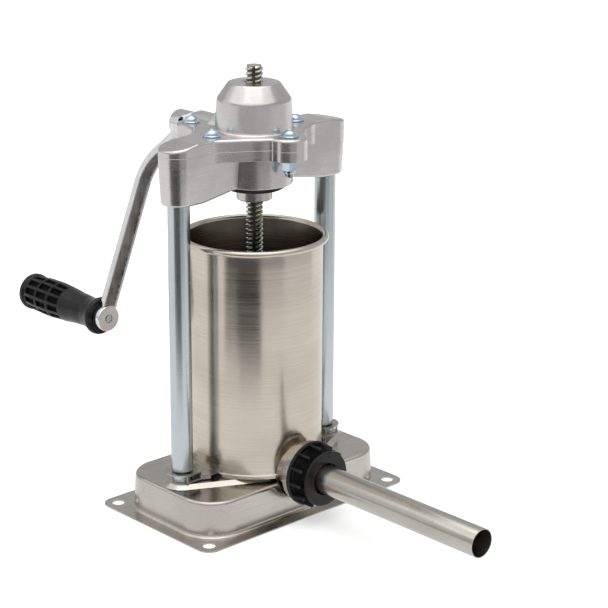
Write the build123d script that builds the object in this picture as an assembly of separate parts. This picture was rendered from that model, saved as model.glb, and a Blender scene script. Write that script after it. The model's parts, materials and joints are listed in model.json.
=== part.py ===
"""Hand-cranked vertical sausage stuffer.

Origin on the table under the cylinder's axis; +X along the base, -Y towards the spout, +Z up. Millimetres.
"""
import os
from math import acos, cos, pi, radians, sin, tan

from build123d import *

# ---------------------------------------------------------------- driving dimensions
SHEET = 1.2
PLATE_LENGTH = 252.0
PLATE_WIDTH = 157.0
PLATE_CORNER = 13.0
BASE_HOLE_SPACING_X = 226.6
BASE_HOLE_SPACING_Y = 131.0
BASE_HOLE_R = 5.8
PLATEAU_HALF_X = 113.0
PLATEAU_HALF_Y = 64.0
PLATEAU_CORNER = 34.0
PLATEAU_DRAFT = 3.0
PLATEAU_FOOT = 3.5
PLATEAU_TOP = 35.0
PLATEAU_EDGE = 3.0
STEP_TOP = 38.4
STEP_SLOPE = 4.7
STEP_COLUMN_R = 19.0
STEP_CENTRE_R = 59.5

COLUMN_X = 89.0
COLUMN_R = 10.0
COLUMN_EDGE = 0.6
COLUMN_COLLAR_R = 9.2
COLUMN_NECK_R = 6.0
COLUMN_TOP = 335.0
NECK_LOW = 46.0
NECK_HIGH = 48.6

CYLINDER_R = 63.0
CYLINDER_WALL = 1.0
CYLINDER_BOTTOM = 40.0
CYLINDER_TOP = 256.7
RIM_R = 68.3
RIM_ROLL_R = 3.0
FOOT_BEAD_R = 64.0
FOOT_BEAD = 2.4
FLOOR_LOW = 38.4
FLOOR_FLANGE_TOP = 44.0

SPOUT_Z = 43.3
SPOUT_NECK_R = 25.0
SPOUT_BORE_R = 20.0
SPOUT_NECK_BORE_R = 23.5
SPOUT_THREAD_R = 22.9
SPOUT_COLLAR_R = 28.8
SPOUT_COLLAR_REAR_Y = -69.8
SPOUT_END_Y = -90.4
CHANNEL_R = 27.8
CHANNEL_END_Y = -20.0

NUT_REAR_Y = -76.3
NUT_FRONT_Y = -98.0
NUT_LIP = 4.0
NUT_BORE_R = 23.0
NUT_CORE_R = 25.2
NUT_FLANGE_R = 30.5
NUT_FLANGE = 3.0
NUT_FACE_R = 25.9
NUT_FACE = 2.6
NUT_HOLE_R = 15.0
NUT_LUGS = 12
NUT_LUG_R = 29.4
NUT_LUG_WIDTH = 4.6

TUBE_R = 13.1
TUBE_WALL = 0.8
TUBE_END_Y = -287.2
TUBE_FLANGE_R = 20.0
TUBE_FLANGE = 1.5
TUBE_TRUMPET = 12.0

AXLE_Z = 342.0
PARTING_Z = 342.6
COVER_TOP = 353.5
LOBE_BOTTOM = 333.2
ARM_BOTTOM = 299.0
ARM_END_R = 17.3
ARM_TAPER = 3.0
BOSS_BOTTOM = 304.0
BOSS_R = 35.1
FRONT_SCREW_Y = -47.0
FRONT_LOBE_R = 16.8
FRONT_LOBE_Y = -45.7
SIDE_SCREW_X = 50.0
REAR_SCREW_X = 25.0
REAR_SCREW_Y = 58.0
REAR_LOBE_R = 13.5
DOME_TOP = 396.0
DOME_TOP_R = 23.5
DOME_SHOULDER_Z = 381.5
DOME_SHOULDER_R = 33.7
DOME_FOOT_R = 35.6
PINION_CASE_R = 23.0
PINION_CASE_END = 44.0
AXLE_BOSS_R = 16.0
AXLE_BOSS_END = 77.0

GEAR_TEETH = 32
PINION_TEETH = 16
MODULE = 1.75
FACE_RATIO = 0.68
PRESSURE_ANGLE = radians(20.0)
BACKLASH = 0.34

SCREW_R = 8.0
SCREW_TOP = 411.0
SCREW_CHAMFER = 1.2
THREAD_FIT = 0.05
KEYWAY_WIDTH = 3.0
KEYWAY_DEPTH = 2.0
KEYWAY_ANGLE = 227.0

PISTON_BOTTOM = 46.0
PISTON_PLATE = 11.0
PISTON_R = 59.5
SEAL_R = 61.7
SEAL_INNER_R = 55.0
VALVE_X = 34.0

CRANK_LEAN = 21.5
CRANK_LENGTH = 197.0
CRANK_WIDTH = 16.0
CRANK_THICK = 7.2
CRANK_FAR_Y = 133.1
CRANK_BEND_R = 48.0
CRANK_RISE = 42.2
CRANK_HUB_R = 13.0
CRANK_HUB_NEAR = 84.0
CRANK_HUB_FAR = 106.0
CRANK_BOSS_R = 12.4
CRANK_BOSS_NEAR = 127.0
CRANK_BOSS_FAR = 136.8
CRANK_WEB_WIDTH = 10.5
CRANK_WEB_DEPTH = 2.0

GRIP_START = 137.3
GRIP_END = 250.4
GRIP_PIN_R = 4.0
GRIP_BORE_R = 4.06
GRIP_RECESS_R = 9.0
GRIP_RECESS_START = 238.0

M8_R = 4.0
M8_FLATS = 13.0
COVER_NUT = 9.6
COVER_NUT_COLLAR = 3.2
COVER_NUT_COLLAR_R = 5.3
M8_HEAD = 5.3
RUNNING_FIT = 0.05

# Base
FOOT_WASHER = 2.0
FOOT_WASHER_R = 13.0
FOOT_BOLT_TIP = 58.0
FOOT_BOLT_FIT = 0.3
HEAD_BOLT_TIP = 310.0
HEAD_WASHER = 1.5
HEAD_WASHER_R = 8.0
CAP_HEAD_R = 6.5
CAP_HEAD = 3.4
CAP_SOCKET = 5.0

# Head castings
ARM_FRONT_LEAN = 2.2
ARM_REAR_LEAN = 5.0
ARM_WALL = 28.0
ARM_EDGE = 1.8
BOSS_EDGE = 1.5
AXLE_BOSS_EDGE = 1.5
PINION_CASE_EDGE = 3.0
CROWN_START = 80.0
CROWN_DROP = 5.0
FRONT_SWEEP = ((-52.0, -19.4), (-41.0, -26.4), (-30.0, -33.1), (-21.4, -39.6))
FRONT_SWEEP_START = (1, -0.22)
REAR_SWEEP = ((-74.0, 17.6), (-58.0, 22.5), (-45.0, 33.0))
ARM_SLOPE_START = 72.0
ARM_SLOPE_END = 34.0
ARM_SLOPE_RISE = 6.0
COLUMN_FIT = 0.02
CREASE_LIMIT = 0.9
CROSSWISE_LIMIT = 0.99
LEVEL_LIMIT = 0.8
CHAMBER_R = 18.5
CHAMBER_END = 41.0
WELL_R = 27.0
WELL_BOTTOM = 318.0
AXLE_BUSH_R = 10.0
LOWER_BUSH_R = 16.5
LOWER_BUSH_BOTTOM = 288.8
COVER_SCREW_TIP = 317.1
CAP_POCKET_R = 9.5
CAP_POCKET = 5.6
GEAR_CHAMBER_R = 30.6
GEAR_CHAMBER_TOP = 368.4
THRUST_R = 24.0
THRUST_TOP = 371.0
UPPER_BUSH_R = 15.5
UPPER_BUSH_TOP = 384.5
SHELF_R = 9.0
GUIDE_R = 11.5
GUIDE_LOW = 386.0
COVER_EDGE = 2.4
DOME_EDGE = 3.0
DOME_SHOULDER_EDGE = 5.0
DOME_FLARE = 2.0
BIG = 400.0
SCREW_FLANGE_R = 8.3
SCREW_FLANGE = 1.6
SCREW_HEAD_R = 6.0
SCREW_HEAD = 4.4
SCREW_SOCKET = 4.0
SCREW_SOCKET_FLOOR = 1.2

# Bevel gears
GEAR_PITCH_R = MODULE * GEAR_TEETH / 2
PINION_PITCH_R = MODULE * PINION_TEETH / 2
ADDENDUM = MODULE
DEDENDUM = 1.25 * MODULE
TOOTH_SINK = 0.6
GEAR_BACK_Z = 368.2
GEAR_HUB_R = 12.5
GEAR_HUB_LOW = 300.6
GEAR_HUB_HIGH = 384.2
SHAFT_INNER_R = 6.0
SHAFT_R = 7.0
SHAFT_START = 17.5
PINION_HUB_R = 11.0
PINION_BACK = 40.8
PINION_PIN_Y = 35.5
PINION_PIN_R = 2.0

# Bearings and seals in the head
AXLE_BUSH_START = 41.2
THRUST_INNER_R = 13.0
LOWER_BUSH_FLANGE_R = 22.0
LOWER_BUSH_FLANGE = 2.5
LOWER_BUSH_SHOULDER = 300.4
LOWER_BUSH_EDGE = 0.8
DUST_RING_R = 31.0
DUST_RING_LOW = 299.2
SCREW_CLEAR = 0.5
KEY_SIDE_FIT = 0.06
KEY_INNER_R = 6.15

# Lead screw and piston
STUD_R = 5.0
STUD_TIP = 47.0
HUB_R = 16.0
HUB_HEIGHT = 7.0
SEAL_LOW = 48.5
SEAL_HIGH = 54.5
NUT_POCKET_R = 11.0
NUT_POCKET_TOP = 53.5
PISTON_WASHER = 1.5
PISTON_NUT_FLATS = 16.0
PISTON_NUT = 4.0
VALVE_STEM_R = 2.5
VALVE_HOLE_R = 2.56
VALVE_HEAD_R = 7.5
VALVE_HEAD = 1.6
VALVE_GAP = 2.0
VALVE_POCKET_R = 5.0
VALVE_POCKET = 6.0
SPRING_COIL_R = 3.6
SPRING_WIRE_R = 0.4
SPRING_TURNS = 4
VALVE_CAP_R = 5.0
VALVE_CAP = 2.5

# Cylinder
BRACKET_LOW = 46.2
BRACKET_DISC_R = 15.5
BRACKET_SLOT_R = 6.3
BRACKET_STEP_X = 79.5
BRACKET_FRONT_Y = 14.6
BRACKET_REAR_Y = 12.0
BRACKET_DROP = 3.8
BRACKET_FLANGE_X = 95.0
BRACKET_FRAME = 1.6
BRACKET_FLANGE_BOTTOM = 39.6
BRACKET_BEND_X = 71.0
BRACKET_BEND_Y = 19.0
THREAD_PITCH = 3.0
THREAD_DEPTH = 1.0
THREAD_START_Y = -76.0
COLLAR = 6.0

# Stuffing tube and ring nut
GASKET_INNER_R = 15.0
GASKET_R = 21.5
TUBE_SEAT_Y = -92.5
TRUMPET_R = 14.5
LUG_ROOT_R = 24.4
LUG_TIP_Y = -93.0
LUG_TIP_R = 3.0
LUG_EDGE = 1.0
LUG_PHASE = 5.0

# Crank and grip
CRANK_BEND_END = 65.1
CRANK_ROOT = 41.6
CRANK_EDGE = 1.2
CRANK_HUB_EDGE = 1.0
CRANK_BOSS_EDGE = 0.8
CRANK_WEB_START = 3.0
CRANK_WEB_END = 183.0
SET_SCREW_Y = 90.0
SET_SCREW_ANGLE = 150.0
SET_SCREW_R = 3.0
SET_SCREW_TIP = 12.4
SHAFT_WASHER_R = 12.0
SHAFT_WASHER_NEAR = 77.2
SHAFT_WASHER_FAR = 79.0
PIN_TENON_R = 3.2
PIN_TENON_NEAR = 126.8
PIN_HEAD_R = 7.0
PIN_HEAD_NEAR = 240.0
PIN_HEAD = 4.0
GRIP_WASHER_R = 8.0
GRIP_WASHER_NEAR = 238.2
GRIP_CAP_NEAR = 246.0
GRIP_CAP_FAR = 250.0
# (distance along Y, radius) down the grip's barrel, then round its nose
GRIP_SWELL = [
    (141, 18.2),
    (148, 15.5),
    (156, 14.4),
    (170, 15.2),
    (190, 17),
    (210, 18.1),
    (230, 17.6),
    (243, 16.2),
]
GRIP_NOSE = [(244.5, 17.9), (248, 17.9), (GRIP_END, 16)]
GRIP_MOUTH_R = 17.2
LEAN = radians(CRANK_LEAN)
CRANK_PLANE = Plane(
    origin=(0, 0, AXLE_Z), x_dir=(-sin(LEAN), 0, -cos(LEAN)), z_dir=(cos(LEAN), 0, -sin(LEAN))
)
GRIP_X = -CRANK_LENGTH * sin(LEAN)
GRIP_Z = AXLE_Z - CRANK_LENGTH * cos(LEAN)

os.makedirs("parts", exist_ok=True)


# ---------------------------------------------------------------- helpers
def save(name, shape):
    """Writes one node."""
    export_step(shape, f"parts/{name}.step")


def rod_z(radius, low, high, x=0.0, y=0.0):
    """Upright solid rod."""
    return Pos(x, y, (low + high) / 2) * Cylinder(radius, high - low)


def ring_z(outer, inner, low, high, x=0.0, y=0.0):
    """Upright ring between two heights."""
    return rod_z(outer, low, high, x, y) - rod_z(inner, low - 1, high + 1, x, y)


def rod_y(radius, start, end, x=0.0, z=AXLE_Z):
    """Solid rod along Y."""
    return Pos(x, (start + end) / 2, z) * Rot(90, 0, 0) * Cylinder(radius, abs(end - start))


def ring_y(outer, inner, start, end, x=0.0, z=AXLE_Z):
    """Ring along Y."""
    return rod_y(outer, start, end, x, z) - rod_y(inner, min(start, end) - 1, max(start, end) + 1, x, z)


def hex_z(flats, low, high, x=0.0, y=0.0):
    """Upright hexagonal prism, given across its flats."""
    outline = Pos(x, y, low) * RegularPolygon(flats / 2, 6, major_radius=False)
    return extrude(outline, high - low)


def spin_z(points, x=0.0, y=0.0):
    """Solid of revolution about an upright axis from (radius, height) points."""
    face = make_face(Polyline(*[(r, 0, z) for r, z in points], close=True))
    return Pos(x, y, 0) * revolve(face, Axis.Z)


def spin_y(points, x=0.0, z=AXLE_Z):
    """Solid of revolution about an axis along Y from (radius, y) points."""
    face = make_face(Polyline(*[(r, y, 0) for r, y in points], close=True))
    return Pos(x, 0, z) * revolve(face, Axis.Y)


def group(shapes):
    """Separate solids kept in one node."""
    return Compound(children=[solid for shape in shapes for solid in shape.solids()])


def both_sides(shape):
    """A shape and its mirror image across the YZ plane."""
    return shape + mirror(shape, Plane.YZ)


# ---------------------------------------------------------------- base


def step_outline(shrink, height):
    """Outline of the raised step: round the columns and round the cylinder."""
    discs = Circle(STEP_CENTRE_R - shrink)
    for side in (-1, 1):
        discs += Pos(side * COLUMN_X, 0) * Circle(STEP_COLUMN_R - shrink)
    return Pos(0, 0, height) * make_hull(discs.edges())


def channel(radius):
    """Rounded trough that the spout lies in, open at the front."""
    trough = rod_y(radius, -PLATEAU_HALF_Y - SPOUT_NECK_R, CHANNEL_END_Y, z=SPOUT_Z)
    return trough + Pos(0, CHANNEL_END_Y, SPOUT_Z) * Sphere(radius)


def raised_body(inset):
    """Plateau and step as one solid, moved inwards by an inset."""
    outline = RectangleRounded(
        2 * (PLATEAU_HALF_X - inset), 2 * (PLATEAU_HALF_Y - inset), PLATEAU_CORNER - inset
    )
    top = PLATEAU_TOP - inset
    body = extrude(outline, top, taper=PLATEAU_DRAFT)
    body = fillet(body.edges().group_by(Axis.Z)[-1], PLATEAU_EDGE - inset)
    foot = step_outline(inset, top)
    body += extrude(foot, -SHEET)
    return body + loft([foot.face(), step_outline(STEP_SLOPE + inset, STEP_TOP - inset).face()], ruled=True)


def at_plateau_foot(edge):
    """True for an edge where the plateau's wall meets the plate."""
    centre = edge.center()
    inside = abs(centre.X) < PLATEAU_HALF_X + 1 and abs(centre.Y) < PLATEAU_HALF_Y + 1
    return inside and abs(centre.Z - SHEET) < SHEET / 2


def base_pan():
    """Pressed sheet base: flange plate, plateau, step and spout channel."""
    pan = extrude(RectangleRounded(PLATE_LENGTH, PLATE_WIDTH, PLATE_CORNER), SHEET)
    pan += raised_body(0.0)
    pan = fillet(pan.edges().filter_by(at_plateau_foot), PLATEAU_FOOT)
    pan -= channel(CHANNEL_R)
    pan -= raised_body(SHEET) - channel(CHANNEL_R + SHEET)
    for side_x in (-1, 1):
        pan -= rod_z(M8_R + FOOT_BOLT_FIT, PLATEAU_TOP - SHEET, STEP_TOP + SHEET, side_x * COLUMN_X)
        for side_y in (-1, 1):
            x = side_x * BASE_HOLE_SPACING_X / 2
            y = side_y * BASE_HOLE_SPACING_Y / 2
            pan -= rod_z(BASE_HOLE_R, -SHEET, 2 * SHEET, x, y)
    return pan


def column(x):
    """Turned bar: collar on the base, neck for the bracket, long shank, tapped ends."""
    bar = spin_z(
        [
            (0, STEP_TOP),
            (COLUMN_COLLAR_R, STEP_TOP),
            (COLUMN_COLLAR_R, NECK_LOW),
            (COLUMN_NECK_R, NECK_LOW),
            (COLUMN_NECK_R, NECK_HIGH),
            (COLUMN_R - COLUMN_EDGE, NECK_HIGH),
            (COLUMN_R, NECK_HIGH + COLUMN_EDGE),
            (COLUMN_R, COLUMN_TOP),
            (0, COLUMN_TOP),
        ],
        x,
    )
    bar -= rod_z(M8_R, STEP_TOP - 1, FOOT_BOLT_TIP, x)
    return bar - rod_z(M8_R, HEAD_BOLT_TIP, COLUMN_TOP + 1, x)


def foot_bolts():
    """Hex bolts from under the base into the columns."""
    seat = STEP_TOP - SHEET - FOOT_WASHER
    bolts = []
    for side in (-1, 1):
        x = side * COLUMN_X
        bolts.append(rod_z(M8_R, seat, FOOT_BOLT_TIP, x) + hex_z(M8_FLATS, seat - M8_HEAD, seat, x))
    return group(bolts)


def foot_washers():
    """Wide washers that spread the columns' load under the sheet."""
    high = STEP_TOP - SHEET
    low = high - FOOT_WASHER
    return group(ring_z(FOOT_WASHER_R, M8_R, low, high, side * COLUMN_X) for side in (-1, 1))


def head_bolts():
    """Cap screws from inside the head down into the columns."""
    seat = PARTING_Z + HEAD_WASHER
    crown = seat + CAP_HEAD
    bolts = []
    for side in (-1, 1):
        x = side * COLUMN_X
        bolt = rod_z(M8_R, HEAD_BOLT_TIP, seat, x) + rod_z(CAP_HEAD_R, seat, crown, x)
        bolts.append(bolt - hex_z(CAP_SOCKET, seat + HEAD_WASHER, crown + 1, x))
    return group(bolts)


def head_washers():
    """Washers under the cap screws."""
    high = PARTING_Z + HEAD_WASHER
    return group(ring_z(HEAD_WASHER_R, M8_R, PARTING_Z, high, side * COLUMN_X) for side in (-1, 1))


# ---------------------------------------------------------------- head castings


def arm_wall(length):
    """Straight front wall of the left arm, from where it leaves the round end."""
    lean = radians(ARM_FRONT_LEAN)
    start = (-COLUMN_X + ARM_END_R * sin(lean), -ARM_END_R * cos(lean))
    return start, (start[0] + length * cos(lean), start[1] + length * sin(lean))


def arm_end():
    """Round end of the left arm, from its front wall to its rear wall."""
    return ThreePointArc(arm_wall(0)[0], (-COLUMN_X - ARM_END_R, 0), (-COLUMN_X, ARM_END_R))


def head_outline():
    """Plan of both castings: two arms, a front lobe and two rear lobes."""
    lobe_side = (-REAR_SCREW_X - REAR_LOBE_R, REAR_SCREW_Y)
    lobe_back = (-REAR_SCREW_X, REAR_SCREW_Y + REAR_LOBE_R)
    diagonal = REAR_LOBE_R * cos(radians(45))
    wall = arm_wall(ARM_WALL)
    front = Spline(
        wall[1],
        *FRONT_SWEEP,
        (-FRONT_LOBE_R, FRONT_LOBE_Y),
        tangents=[FRONT_SWEEP_START, (0, -1)],
    )
    rear = Spline(
        (-COLUMN_X, ARM_END_R), *REAR_SWEEP, lobe_side, tangents=[(1, 0), (0, 1)]
    )
    lobe = ThreePointArc(lobe_side, (-REAR_SCREW_X - diagonal, REAR_SCREW_Y + diagonal), lobe_back)
    nose = ThreePointArc(
        (-FRONT_LOBE_R, FRONT_LOBE_Y), (0, FRONT_LOBE_Y - FRONT_LOBE_R), (FRONT_LOBE_R, FRONT_LOBE_Y)
    )
    back = Line(lobe_back, (-lobe_back[0], lobe_back[1]))
    left = [Line(*wall), front, arm_end(), rear, lobe]
    return make_face([*left, *[mirror(edge, Plane.YZ) for edge in left], nose, back])


def arm_outline():
    """Plan of the left arm below the flange, flush with it round the end and along the front."""
    wall = arm_wall(ARM_WALL)
    reach = arm_wall(COLUMN_X / cos(radians(ARM_FRONT_LEAN)))[1]
    rear_y = ARM_END_R - COLUMN_X * tan(radians(ARM_REAR_LEAN))
    rest = Polyline(wall[1], reach, (reach[0], rear_y), (-COLUMN_X, ARM_END_R))
    return make_face([arm_end(), Line(*wall), *rest.edges()])


def along_arm_underside(edge):
    """True for the outer edges of the arm's underside, short of the crease towards the middle."""
    centre = edge.center()
    return centre.Z < ARM_BOTTOM + ARM_SLOPE_RISE - 1 and abs(edge.tangent_at(0.5).Y) < CREASE_LIMIT


def arms():
    """Deep arms with drafted walls and an underside that rises towards the middle."""
    block = extrude(Pos(0, 0, LOBE_BOTTOM) * arm_outline(), ARM_BOTTOM - LOBE_BOTTOM, taper=ARM_TAPER)
    under = Polyline(
        (-ARM_SLOPE_START, ARM_BOTTOM - 1),
        (-ARM_SLOPE_START, ARM_BOTTOM),
        (-ARM_SLOPE_END, ARM_BOTTOM + ARM_SLOPE_RISE),
        (1, ARM_BOTTOM + ARM_SLOPE_RISE),
        (1, ARM_BOTTOM - 1),
        close=True,
    )
    block -= extrude(Plane.XZ * make_face(under), BIG, both=True)
    block = fillet(block.edges().filter_by(along_arm_underside), ARM_EDGE)
    return both_sides(block)


def cover_screw_places():
    """Plan positions of the cover screws."""
    places = [(0, FRONT_SCREW_Y)]
    for side in (-1, 1):
        places += [(side * SIDE_SCREW_X, 0), (side * REAR_SCREW_X, REAR_SCREW_Y)]
    return places


def axle_case():
    """Outside of the pinion case and axle boss along Y."""
    boss = rod_y(AXLE_BOSS_R, 0, AXLE_BOSS_END)
    boss = fillet(boss.edges().group_by(Axis.Y)[-1], AXLE_BOSS_EDGE)
    case = rod_y(PINION_CASE_R, 0, PINION_CASE_END)
    return fillet(case.edges().group_by(Axis.Y)[-1], PINION_CASE_EDGE) + boss


def axle_space():
    """Space for the pinion and its bush."""
    return rod_y(CHAMBER_R, 0, CHAMBER_END) + rod_y(AXLE_BUSH_R, CHAMBER_END - 1, AXLE_BOSS_END + 1)


def head_housing():
    """Lower casting: arms on the columns, gear well, lower half of the pinion case."""
    body = extrude(Pos(0, 0, LOBE_BOTTOM) * head_outline(), PARTING_Z - LOBE_BOTTOM)
    body += arms()
    boss = rod_z(BOSS_R, BOSS_BOTTOM, PARTING_Z)
    body += fillet(boss.edges().group_by(Axis.Z)[0], BOSS_EDGE)
    body += axle_case() & Pos(0, 0, PARTING_Z - BIG / 2) * Box(BIG, BIG, BIG)
    body -= axle_space()
    body -= rod_z(WELL_R, WELL_BOTTOM, PARTING_Z + 1)
    body -= rod_z(LOWER_BUSH_R, BOSS_BOTTOM - 1, WELL_BOTTOM + 1)
    for side in (-1, 1):
        body -= rod_z(COLUMN_R + COLUMN_FIT, ARM_BOTTOM - 1, COLUMN_TOP, side * COLUMN_X)
        body -= rod_z(M8_R, COLUMN_TOP - 1, PARTING_Z + 1, side * COLUMN_X)
    for x, y in cover_screw_places():
        body -= rod_z(M8_R, COVER_SCREW_TIP, PARTING_Z + 1, x, y)
    return body


def along_cover_top(edge):
    """True for the outline edges of the flange's top."""
    centre = edge.center()
    middle = edge.tangent_at(0.5)
    across = abs(middle.Y) > CROSSWISE_LIMIT and abs(abs(centre.X) - CROWN_START) < 1
    return centre.Z > COVER_TOP - CROWN_DROP - 1 and abs(middle.Z) < LEVEL_LIMIT and not across


def arm_crown():
    """Waste above the left arm's end, where the flange's top slopes down."""
    end = (-COLUMN_X - ARM_END_R - 1, COVER_TOP - CROWN_DROP)
    start = (-CROWN_START, COVER_TOP)
    waste = Polyline(start, end, (end[0], COVER_TOP + 1), (start[0], COVER_TOP + 1), close=True)
    return extrude(Plane.XZ * make_face(waste), BIG, both=True)


def dome():
    """Dome over the bevel gear, rounded at its shoulder and its top, flared at its foot."""
    body = spin_z(
        [
            (0, PARTING_Z),
            (DOME_FOOT_R, PARTING_Z),
            (DOME_FOOT_R, COVER_TOP),
            (DOME_SHOULDER_R, DOME_SHOULDER_Z),
            (DOME_TOP_R, DOME_TOP),
            (0, DOME_TOP),
        ]
    )
    body = fillet(body.edges().group_by(Axis.Z)[-1], DOME_EDGE)
    shoulder = [e for e in body.edges() if abs(e.center().Z - DOME_SHOULDER_Z) < 1 and e.radius > DOME_TOP_R]
    body = fillet(shoulder, DOME_SHOULDER_EDGE)
    flare = rod_z(DOME_FOOT_R + DOME_FLARE, PARTING_Z, COVER_TOP + DOME_FLARE)
    ring = Circle(DOME_FLARE)
    place = Plane((DOME_FOOT_R + DOME_FLARE, 0, COVER_TOP + DOME_FLARE), (1, 0, 0), (0, 1, 0))
    return body + (flare - revolve(place * ring, Axis.Z))


def head_cover():
    """Upper casting: flange, dome over the gear, upper half of the pinion case."""
    body = extrude(Pos(0, 0, PARTING_Z) * head_outline(), COVER_TOP - PARTING_Z)
    body -= both_sides(arm_crown())
    body = fillet(body.edges().filter_by(along_cover_top), COVER_EDGE)
    body += dome()
    body += axle_case() & Pos(0, 0, PARTING_Z + BIG / 2) * Box(BIG, BIG, BIG)
    body -= axle_space()
    body -= rod_z(GEAR_CHAMBER_R, PARTING_Z - 1, GEAR_CHAMBER_TOP)
    body -= rod_z(THRUST_R, GEAR_CHAMBER_TOP - 1, THRUST_TOP)
    body -= rod_z(UPPER_BUSH_R, THRUST_TOP - 1, UPPER_BUSH_TOP)
    body -= rod_z(SHELF_R, UPPER_BUSH_TOP - 1, GUIDE_LOW + 1)
    body -= rod_z(GUIDE_R, GUIDE_LOW, DOME_TOP + 1)
    for side in (-1, 1):
        body -= rod_z(CAP_POCKET_R, PARTING_Z - 1, PARTING_Z + CAP_POCKET, side * COLUMN_X)
    for x, y in cover_screw_places():
        body -= rod_z(M8_R, PARTING_Z - 1, COVER_TOP + 1, x, y)
    return body


def cover_screw(x, y):
    """Flanged button-head screw with a hex socket."""
    crown = COVER_TOP + SCREW_FLANGE
    screw = rod_z(M8_R, COVER_SCREW_TIP, crown, x, y) + rod_z(SCREW_FLANGE_R, COVER_TOP, crown, x, y)
    dome_r = (SCREW_HEAD_R**2 + SCREW_HEAD**2) / (2 * SCREW_HEAD)
    dome = Pos(x, y, crown + SCREW_HEAD - dome_r) * Sphere(dome_r)
    screw += dome & rod_z(SCREW_FLANGE_R, crown, crown + SCREW_HEAD + 1, x, y)
    return screw - hex_z(SCREW_SOCKET, crown + SCREW_SOCKET_FLOOR, crown + SCREW_HEAD + 1, x, y)


def cover_nuts():
    """Collared hex nuts under the front and rear lobes."""
    low = LOBE_BOTTOM - COVER_NUT
    nuts = []
    for x, y in cover_screw_places():
        if y:
            nut = hex_z(M8_FLATS, low, LOBE_BOTTOM, x, y)
            nut += rod_z(COVER_NUT_COLLAR_R, low - COVER_NUT_COLLAR, low, x, y)
            nuts.append(nut - rod_z(M8_R, low - COVER_NUT_COLLAR - 1, LOBE_BOTTOM + 1, x, y))
    return group(nuts)


# ---------------------------------------------------------------- bevel gears


def involute(angle):
    """Involute function."""
    return tan(angle) - angle


def bevel_tooth(pitch_r, apex_r):
    """One straight bevel tooth; apex at the origin, axis +Z away from the apex, tooth on +X."""
    cone_distance = (pitch_r**2 + apex_r**2) ** 0.5
    sine = pitch_r / cone_distance
    cosine = apex_r / cone_distance
    virtual_r = pitch_r / cosine
    base_r = virtual_r * cos(PRESSURE_ANGLE)
    half_tooth = (pi * MODULE - BACKLASH) / 4 / virtual_r + involute(PRESSURE_ANGLE)
    flank = []
    for height in (-DEDENDUM - TOOTH_SINK, -DEDENDUM, -DEDENDUM / 2, 0, ADDENDUM / 2, ADDENDUM):
        radius = virtual_r + height
        pressure = acos(min(1.0, base_r / radius))
        turn = half_tooth - involute(pressure)
        flank.append((radius * sin(turn), radius * cos(turn) - virtual_r))
    points = flank + [(-x, y) for x, y in reversed(flank)]
    ends = []
    for size in (1.0, FACE_RATIO):
        origin = (pitch_r * size, 0, apex_r * size)
        plane = Plane(origin=origin, x_dir=(0, 1, 0), z_dir=(-sine, 0, -cosine))
        outline = Polyline(*[(x * size, y * size) for x, y in points], close=True)
        ends.append((plane * make_face(outline)).face())
    return Solid.make_loft([end.outer_wire() for end in ends], ruled=True)


def tooth_ring(pitch_r, apex_r, teeth, phase):
    """All teeth of one bevel gear."""
    tooth = bevel_tooth(pitch_r, apex_r)
    return [Rot(0, 0, (i + phase) * 360 / teeth) * tooth for i in range(teeth)]


def root_point(pitch_r, apex_r):
    """Outer root corner (radius, height) of a bevel gear."""
    cone_distance = (pitch_r**2 + apex_r**2) ** 0.5
    return pitch_r - DEDENDUM * apex_r / cone_distance, apex_r + DEDENDUM * pitch_r / cone_distance


def bevel_gear_nut():
    """Driven bevel gear with a long hub, threaded for the lead screw."""
    root_r, root_z = root_point(GEAR_PITCH_R, PINION_PITCH_R)
    back = GEAR_BACK_Z - AXLE_Z
    blank = spin_z(
        [
            (0, GEAR_HUB_LOW - AXLE_Z),
            (GEAR_HUB_R, GEAR_HUB_LOW - AXLE_Z),
            (GEAR_HUB_R, root_z * FACE_RATIO),
            (root_r * FACE_RATIO, root_z * FACE_RATIO),
            (root_r, root_z),
            (root_r, back),
            (GEAR_HUB_R, back),
            (GEAR_HUB_R, GEAR_HUB_HIGH - AXLE_Z),
            (0, GEAR_HUB_HIGH - AXLE_Z),
        ]
    )
    gear = blank + tooth_ring(GEAR_PITCH_R, PINION_PITCH_R, GEAR_TEETH, 0.5)
    gear = Pos(0, 0, AXLE_Z) * gear
    return gear - rod_z(SCREW_R + THREAD_FIT, GEAR_HUB_LOW - 1, GEAR_HUB_HIGH + 1)


def bevel_pinion():
    """Driving bevel pinion with a pinned hub."""
    root_r, root_z = root_point(PINION_PITCH_R, GEAR_PITCH_R)
    blank = spin_z(
        [
            (0, root_z * FACE_RATIO),
            (root_r * FACE_RATIO, root_z * FACE_RATIO),
            (root_r, root_z),
            (PINION_HUB_R, root_z + 1),
            (PINION_HUB_R, PINION_BACK),
            (0, PINION_BACK),
        ]
    )
    pinion = blank + tooth_ring(PINION_PITCH_R, GEAR_PITCH_R, PINION_TEETH, 0.0)
    pinion = Pos(0, 0, AXLE_Z) * Rot(-90, 0, 0) * pinion
    pinion -= rod_y(SHAFT_INNER_R, 0, PINION_BACK + 1)
    return pinion - Pos(0, PINION_PIN_Y, AXLE_Z) * Cylinder(PINION_PIN_R, 2 * PINION_HUB_R + 2)


def pinion_pin():
    """Cross pin through the pinion hub and shaft."""
    return Pos(0, PINION_PIN_Y, AXLE_Z) * Cylinder(PINION_PIN_R, 2 * PINION_HUB_R - 1)


def crank_shaft():
    """Shaft from the pinion to the crank hub."""
    shaft = rod_y(SHAFT_INNER_R, SHAFT_START, PINION_BACK) + rod_y(SHAFT_R, PINION_BACK, CRANK_HUB_FAR)
    return shaft - Pos(0, PINION_PIN_Y, AXLE_Z) * Cylinder(PINION_PIN_R, 4 * SHAFT_R)


# ---------------------------------------------------------------- bearings and seals in the head


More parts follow.
